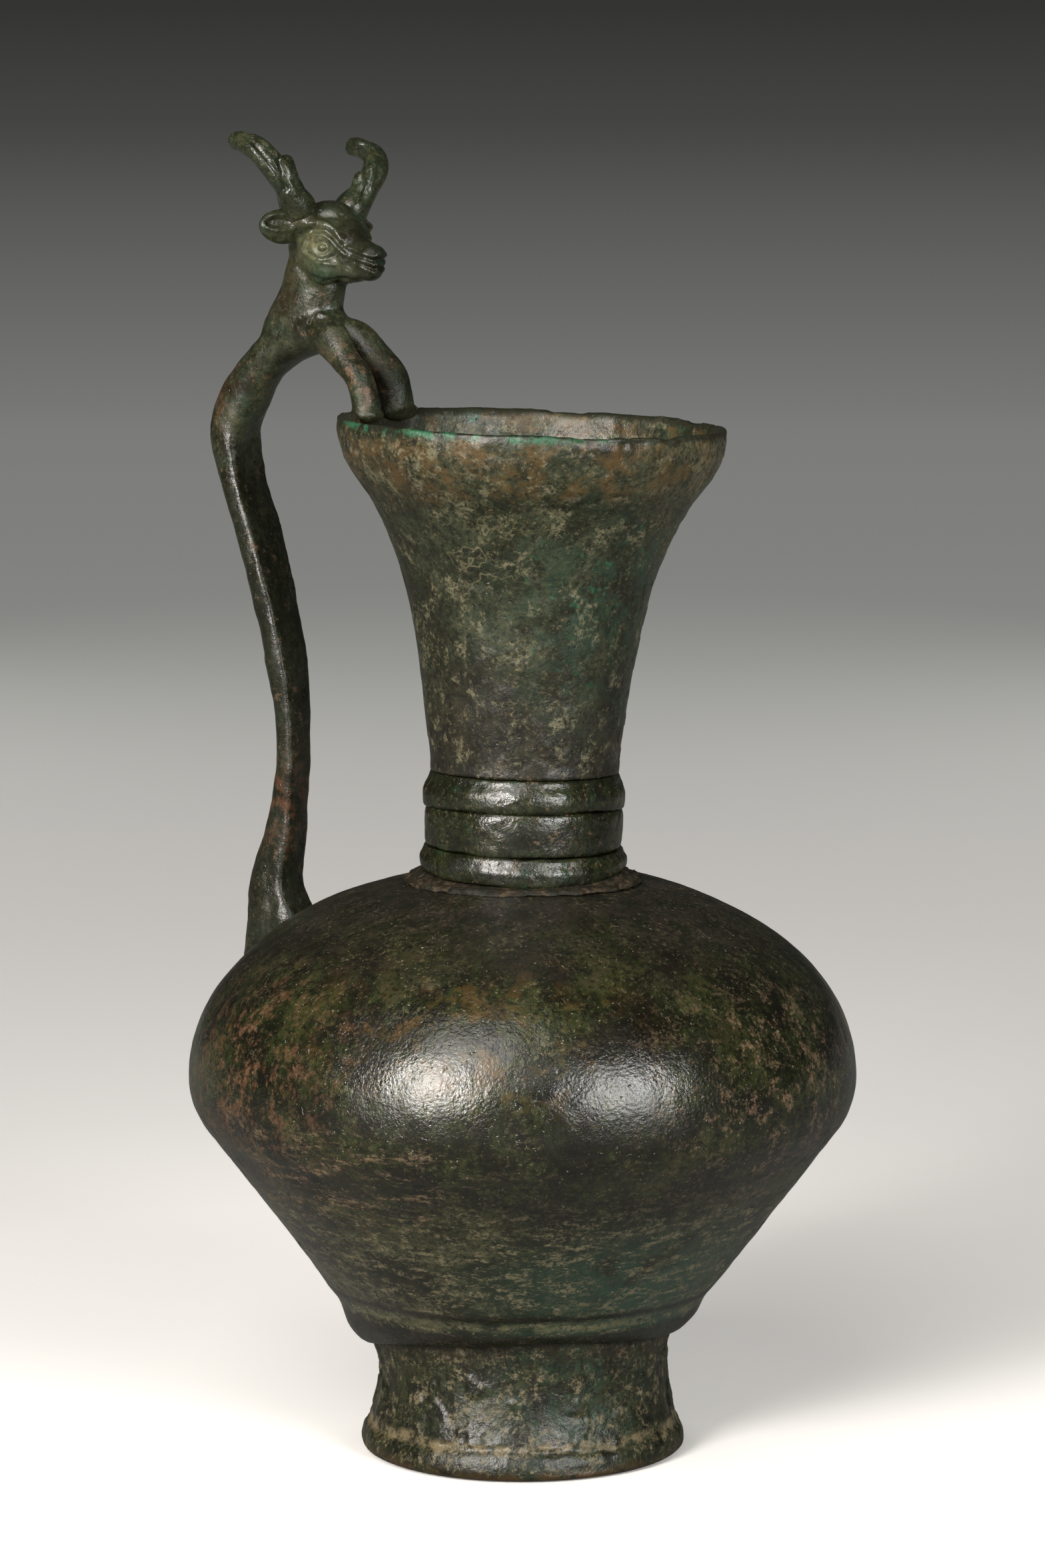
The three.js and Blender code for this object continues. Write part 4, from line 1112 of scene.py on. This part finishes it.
def neck_material():
    p = Patina("neck_patina")
    sand = p.sand()
    mottle = p.mottle(p.noise(11, 31, 8, 0.66), p.noise(2.2, 30, 8, 0.74), 0.55)
    p.colour = p.ramp(mottle, (0.40, DARK_BROWN), (0.46, DARK_GREEN), (0.52, FERN), (0.57, SAGE),
                      (0.63, OLIVE))
    dim = p.ramp(p.noise(7, 33, 9, 0.72), (0.40, SOOT), (0.5, srgb(39, 35, 24)), (0.60, srgb(60, 53, 39)))
    p.paint(dim, 0.85, p.ragged(224, 198, 44.0, 15, 32, 7, 0.66))
    p.weather()
    p.paint(TEAL, 0.75, p.patches(8, 34, 0.44, 0.58, 8, 0.72), p.spread((26, -24, 208), 52, 48))
    p.paint(VERDIGRIS, 0.8, p.patches(3.2, 35, 0.59, 0.66, 6, 0.66), p.spread((24, -26, 212), 40, 49))
    high = p.ragged(238, 248, 18.0, 10, 36, 6, 0.66)
    p.paint(HONEY, 0.8, high, p.patches(7, 37, 0.45, 0.60, 9, 0.74))
    p.paint(BONE, 0.5, high, sand, p.patches(5, 42, 0.53, 0.63, 9, 0.76))
    pale = p.times(p.patches(7, 38, 0.53, 0.62, 10, 0.76), sand)
    p.paint(NECK_DUST, 0.75, pale)
    p.paint(DRIFT_TAN, 0.8, p.patches(7, 44, 0.38, 0.54, 10, 0.76), sand, p.spread((48, -26, 242), 36, 51))
    flake_edge = p.stripe(p.plus(p.noise(13, 43, 3, 0.5), -0.53), 0.010, 0.003)
    p.paint(EDGE_TAN, 0.6, flake_edge, p.spread((-9, -32, 222), 19, 50))
    across = p.times(p.x, math.tan(NECK_LEAN) + RIM_TILT_LEFT / RIM_R)
    tilt = p.plus(across, p.times(p.y, -RIM_TILT_BACK / RIM_R))
    crust = p.between(p.plus(p.z, tilt, p.times(p.noise(3.2, 39, 7, 0.7), 4.0)), 249.4, 250.8)
    bright = p.times(p.patches(3.4, 40, 0.46, 0.60, 6), p.between(p.x, 40, -10), p.between(p.y, -4, -22))
    p.paint(p.mix(bright, RIM_DARK, RIM_GREEN), 0.9, crust)
    # Painted shade: the rim and the mouth's wall behind and between the stag's legs are darkened
    shade_behind_legs = p.near(handle_spot(HOOF_REACH - 4, -3, RIM_TOP - 4), 22)
    p.paint(WARM_PAINTED_SHADE, 0.8, shade_behind_legs, p.between(p.y, 2, 14))
    rough = p.plus(p.between(mottle, 0.36, 0.66, 0.34, 0.48), p.times(pale, 0.12))
    return p.finish(rough, p.skin(0.3))


def collar_material():
    p = Patina("collar_patina")
    mottle = p.mottle(p.noise(8, 51, 8, 0.66), p.noise(2, 55, 7, 0.72), 0.6)
    p.greens(mottle, (0.37, 0.45, 0.53, 0.60, 0.68), UMBER)
    p.paint(PINE, 0.6, p.patches(6, 52, 0.55, 0.66, 7))
    p.weather(amount=0.3)
    tan = p.patches(3.2, 53, 0.57, 0.66, 9, 0.76)
    p.paint(TAN, 0.6, tan)
    rough = p.plus(p.between(p.noise(5, 54, 5), 0.3, 0.7, 0.20, 0.34), p.times(tan, 0.2))
    return p.finish(rough, p.skin(0.35), shine=0.7)


def solder_material():
    p = Patina("solder_patina")
    grains = p.noise(1.6, 61, 6, 0.68)
    p.colour = p.ramp(grains, (0.36, srgb(34, 28, 19)), (0.48, srgb(58, 48, 33)), (0.58, srgb(94, 78, 55)),
                      (0.7, UMBER))
    p.paint(BLACK_GREEN, 0.85, p.patches(7, 62, 0.40, 0.52, 7, 0.68))
    rough = p.between(grains, 0.3, 0.7, 0.45, 0.7)
    return p.finish(rough, p.bump(grains, 0.5), shine=0.4)


def stag_material():
    p = Patina("stag_patina")
    mottle = p.mottle(p.noise(9, 71, 8, 0.66), p.noise(1.6, 70, 7, 0.74), 0.6)
    p.colour = p.ramp(mottle, (0.40, srgb(34, 34, 21)), (0.46, srgb(44, 47, 29)), (0.52, srgb(58, 63, 41)),
                      (0.57, srgb(76, 80, 55)), (0.64, UMBER))
    p.paint(STAG_TEAL, 0.65, p.patches(7, 72, 0.52, 0.64, 8, 0.7))
    p.paint(FACE_GREEN, 0.7, p.near(head_spot(6, 7, -1), 16), p.patches(4, 75, 0.36, 0.54, 9, 0.74))
    p.paint(EYE_GREEN, 0.75, p.near(head_spot(5.4, 7.4, 0.3), 6.5))
    bridge, crown, nose = head_spot(13, 1, 2), head_spot(3, 2, 9), head_spot(20, 2, -2)
    p.paint(NOSE_GREEN, 0.85, p.most(p.near(bridge, 9), p.near(crown, 9), p.near(nose, 8)))
    p.paint(JAW_TEAL, 0.7, p.near(head_spot(7, 7, -7), 6))
    nape, back = handle_spot(SKULL[0] + 11, 3, SKULL[2] - 10), handle_spot(HANDLE_REACH + 2, 3, RIM_TOP + 8)
    spine = p.most(p.near(nape, 13), p.near(back, 13))
    p.paint(SPINE_BROWN, 0.85, p.between(p.noise(9, 79, 4), 0.30, 0.46), spine)
    antlers = p.height(SKULL[2] + 6, SKULL[2] + 12)
    p.paint(ANTLER_GREEN, 0.6, antlers, p.patches(4, 80, 0.42, 0.56, 6, 0.7))
    p.paint(BLACK_GREEN, 0.7, p.ragged(258, 240, 24.0, 9, 73, 6, 0.64))
    p.weather(amount=0.25, pores=0.45)
    # Painted shade: the far foreleg, behind the near one, is darkened almost to black
    far_leg = p.near(handle_spot(*leg_spot(-1, 0.15, 0.8, 0.4)), 16)
    p.paint(DEEP_PAINTED_SHADE, 0.95, far_leg, p.patches(6, 76, 0.26, 0.42))
    near_leg = p.near(handle_spot(*leg_spot(1, 0.2, 1.2, 0.42)), 15)
    rubs = p.patches(3.6, 77, 0.48, 0.60, 10, 0.76)
    p.paint(LEG_TAN, 0.75, near_leg, rubs)
    bend = p.near(handle_spot(HANDLE_REACH + 3, 4, RIM_TOP + 2), 12)
    shin = p.near(handle_spot(WAIST_REACH, 6, NECK_FOOT_Z + 14), 22)
    p.paint(BEND_BROWN, 0.65, p.most(bend, shin), rubs)
    tan = p.patches(3.4, 74, 0.57, 0.65, 10, 0.78)
    p.paint(STAG_TAN, 0.55, tan)
    worn = p.plus(p.times(tan, 0.2), p.times(far_leg, 0.15), p.times(near_leg, 0.12))
    rough = p.plus(p.between(mottle, 0.40, 0.62, 0.28, 0.44), worn, p.times(antlers, -0.1))
    shine = p.plus(0.6, p.times(far_leg, -0.55), p.times(near_leg, -0.4))
    lumps = p.times(p.noise(3, 78, 4, 0.6), p.most(near_leg, far_leg))
    return p.finish(rough, p.bump(lumps, 0.9, Normal=p.skin()), shine)


# Stage

# Fill light from the front and from behind, and the wall past the floor: its tone at the horizon, its tone
# higher up, and the rise between the two
FILL_FRONT = (0.10, 0.10, 0.10, 1)
FILL_BACK = (0.25, 0.25, 0.24, 1)
WALL_LOW, WALL_HIGH, WALL_FADE = srgb(67, 67, 65), srgb(50, 51, 48), 0.022

# The floor as the jug sees it, and as the camera sees it: tones over reach / (reach + FLOOR_SCALE)
TABLE = (0.20, 0.20, 0.19, 1)
FLOOR_SCALE = 1000.0
# The camera's tones are a painted falloff of light: palest by the jug, darker farther out
FLOOR_TONES = [
    (0.10, srgb(252, 250, 247)), (0.22, srgb(246, 244, 241)), (0.30, srgb(226, 224, 222)),
    (0.44, srgb(201, 199, 197)), (0.64, srgb(158, 159, 156)), (0.82, srgb(119, 119, 117)),
    (0.95, srgb(86, 86, 84)), (0.984, srgb(73, 73, 71)), (1.0, srgb(67, 67, 65)),
]
FLOOR_RADIUS_M = 400

# To the camera the floor also glows, by a share of its tone: in front of the jug, far away at most, and how
# fast that grows
GLOW_FRONT, GLOW_FAR, GLOW_GROWTH = 0.12, 0.83, 1.6

# Lamps round the aim: azimuth from the camera and elevation in degrees, distance and sides in metres, power,
# colour, and whether the jug mirrors it
AIM_M = np.array([0, 0, 0.14])
LAMPS = {
    "left_softbox": (-33, 19.5, 1.5, (0.45, 0.55), 27, (1.0, 0.95, 0.90), True),
    "right_softbox": (36, 16, 1.5, (0.45, 0.55), 14, (1.0, 0.99, 0.97), True),
    "high_softbox": (-22, 46, 1.8, (1.0, 1.0), 13, (1.0, 0.97, 0.93), True),
    "back_fill_left": (-140, 9, 1.8, (1.2, 1.2), 13, (1.0, 0.98, 0.95), False),
    "back_fill_right": (140, 9, 1.8, (1.2, 1.2), 13, (1.0, 0.98, 0.95), False),
}


def make_floor():
    """A pale floor that darkens away from the jug. The lamps light it, so it keeps the jug's shadow."""
    p = Patina("floor")
    flat = p.add("CombineXYZ", X=p.x, Y=p.y).outputs[0]
    reach = p.add("VectorMath", {"operation": "LENGTH"}, Vector=flat).outputs["Value"]
    share = p.math("DIVIDE", reach, p.plus(reach, FLOOR_SCALE))
    colour = p.ramp(share, *FLOOR_TONES)
    seen = p.add("LightPath").outputs["Is Camera Ray"]
    front = p.between(p.y, 150, -90, 0.0, GLOW_FRONT)
    far = p.math("MINIMUM", p.times(p.math("POWER", share, 3.0), GLOW_GROWTH), GLOW_FAR)
    glow = p.add("Emission", Color=colour, Strength=p.times(seen, p.most(front, far)))
    paint = p.add("BsdfDiffuse", Color=p.mix(seen, TABLE, colour))
    both = p.add("AddShader", (), glow.outputs[0], paint.outputs[0])
    p.add("OutputMaterial", Surface=both.outputs[0])
    bpy.ops.mesh.primitive_circle_add(vertices=96, radius=FLOOR_RADIUS_M, fill_type="NGON")
    floor = bpy.context.object
    floor.name = "floor"
    floor.data.materials.append(p.material)


def soft_light(name, azimuth_deg, elevation_deg, distance, sides, power, colour, mirrored):
    """A softbox outside the picture. A fill that is not mirrored lights the jug without a glint on it."""
    light = bpy.data.lights.new(name, "AREA")
    light.shape = "RECTANGLE"
    light.size, light.size_y = sides
    light.energy = power
    light.color = colour
    lamp = bpy.data.objects.new(name, light)
    a, e = math.radians(azimuth_deg), math.radians(elevation_deg)
    toward = np.array([math.sin(a) * math.cos(e), -math.cos(a) * math.cos(e), math.sin(e)])
    lamp.location = AIM_M + distance * toward
    lamp.rotation_euler = (math.pi / 2 - e, 0, a)
    lamp.visible_camera = False
    lamp.visible_glossy = mirrored
    bpy.context.scene.collection.objects.link(lamp)


def make_world():
    """A soft fill, stronger from behind. Seen directly or mirrored, it is a dark wall past the floor."""
    world = bpy.data.worlds.new("studio")
    bpy.context.scene.world = world
    world.use_nodes = True
    w = Nodes(world.node_tree)
    path = w.add("LightPath").outputs
    seen = w.most(path["Is Camera Ray"], path["Is Glossy Ray"])
    direction = w.add("TexCoord").outputs["Generated"]
    split = w.add("SeparateXYZ", Vector=direction).outputs
    wall = w.ramp(split["Z"], (0.0, WALL_LOW), (WALL_FADE, WALL_HIGH))
    fill = w.ramp(split["Y"], (0.0, FILL_FRONT), (0.8, FILL_BACK))
    w.plug(w.tree.nodes["Background"].inputs["Color"], w.mix(seen, fill, wall))


def make_camera():
    camera = bpy.data.cameras.new("camera")
    camera.sensor_fit = "VERTICAL"
    camera.sensor_height = 36
    camera.lens = camera.sensor_height * CAMERA_FOCUS / PICTURE_H
    view = bpy.data.objects.new("camera", camera)
    view.location = CAMERA_AT * MM
    view.rotation_euler = (math.pi / 2 - CAMERA_DOWN, 0, 0)
    bpy.context.scene.collection.objects.link(view)
    bpy.context.scene.camera = view


# The jug

make_camera()
belly = body_material()
collar = collar_material()
solder = solder_material()
stag = stag_material()

make_body(belly)
make_foot(foot_material())
make_neck(neck_material())
make_band("collar_lower", COLLAR_SEAT, LOWER_BAND_H, LOWER_BAND_R - 0.5, LOWER_BAND_R, 41, collar)
make_band("collar_middle", MIDDLE_Z, MIDDLE_BAND_H, MIDDLE_BAND_R, MIDDLE_BAND_R, 44, collar)
make_band("collar_upper", UPPER_Z, UPPER_BAND_H, THROAT_R + 0.5, UPPER_BAND_R, 47, collar)
make_neck_solder(solder)
make_handle(stag)
make_handle_solder(solder)
make_antler("antler_right", 1, RIGHT_ANTLER_LINES, stag)
make_antler("antler_left", -1, LEFT_ANTLER_LINES, stag)
# The belly's floor and the bead that seals it keep the meshes of their solids
for hidden, material in (("base_disc", belly), ("foot_solder", solder)):
    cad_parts[hidden].data.materials.clear()
    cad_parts[hidden].data.materials.append(material)

make_floor()
for name, settings in LAMPS.items():
    soft_light(name, *settings)
make_world()
bpy.context.scene.view_settings.view_transform = "Standard"
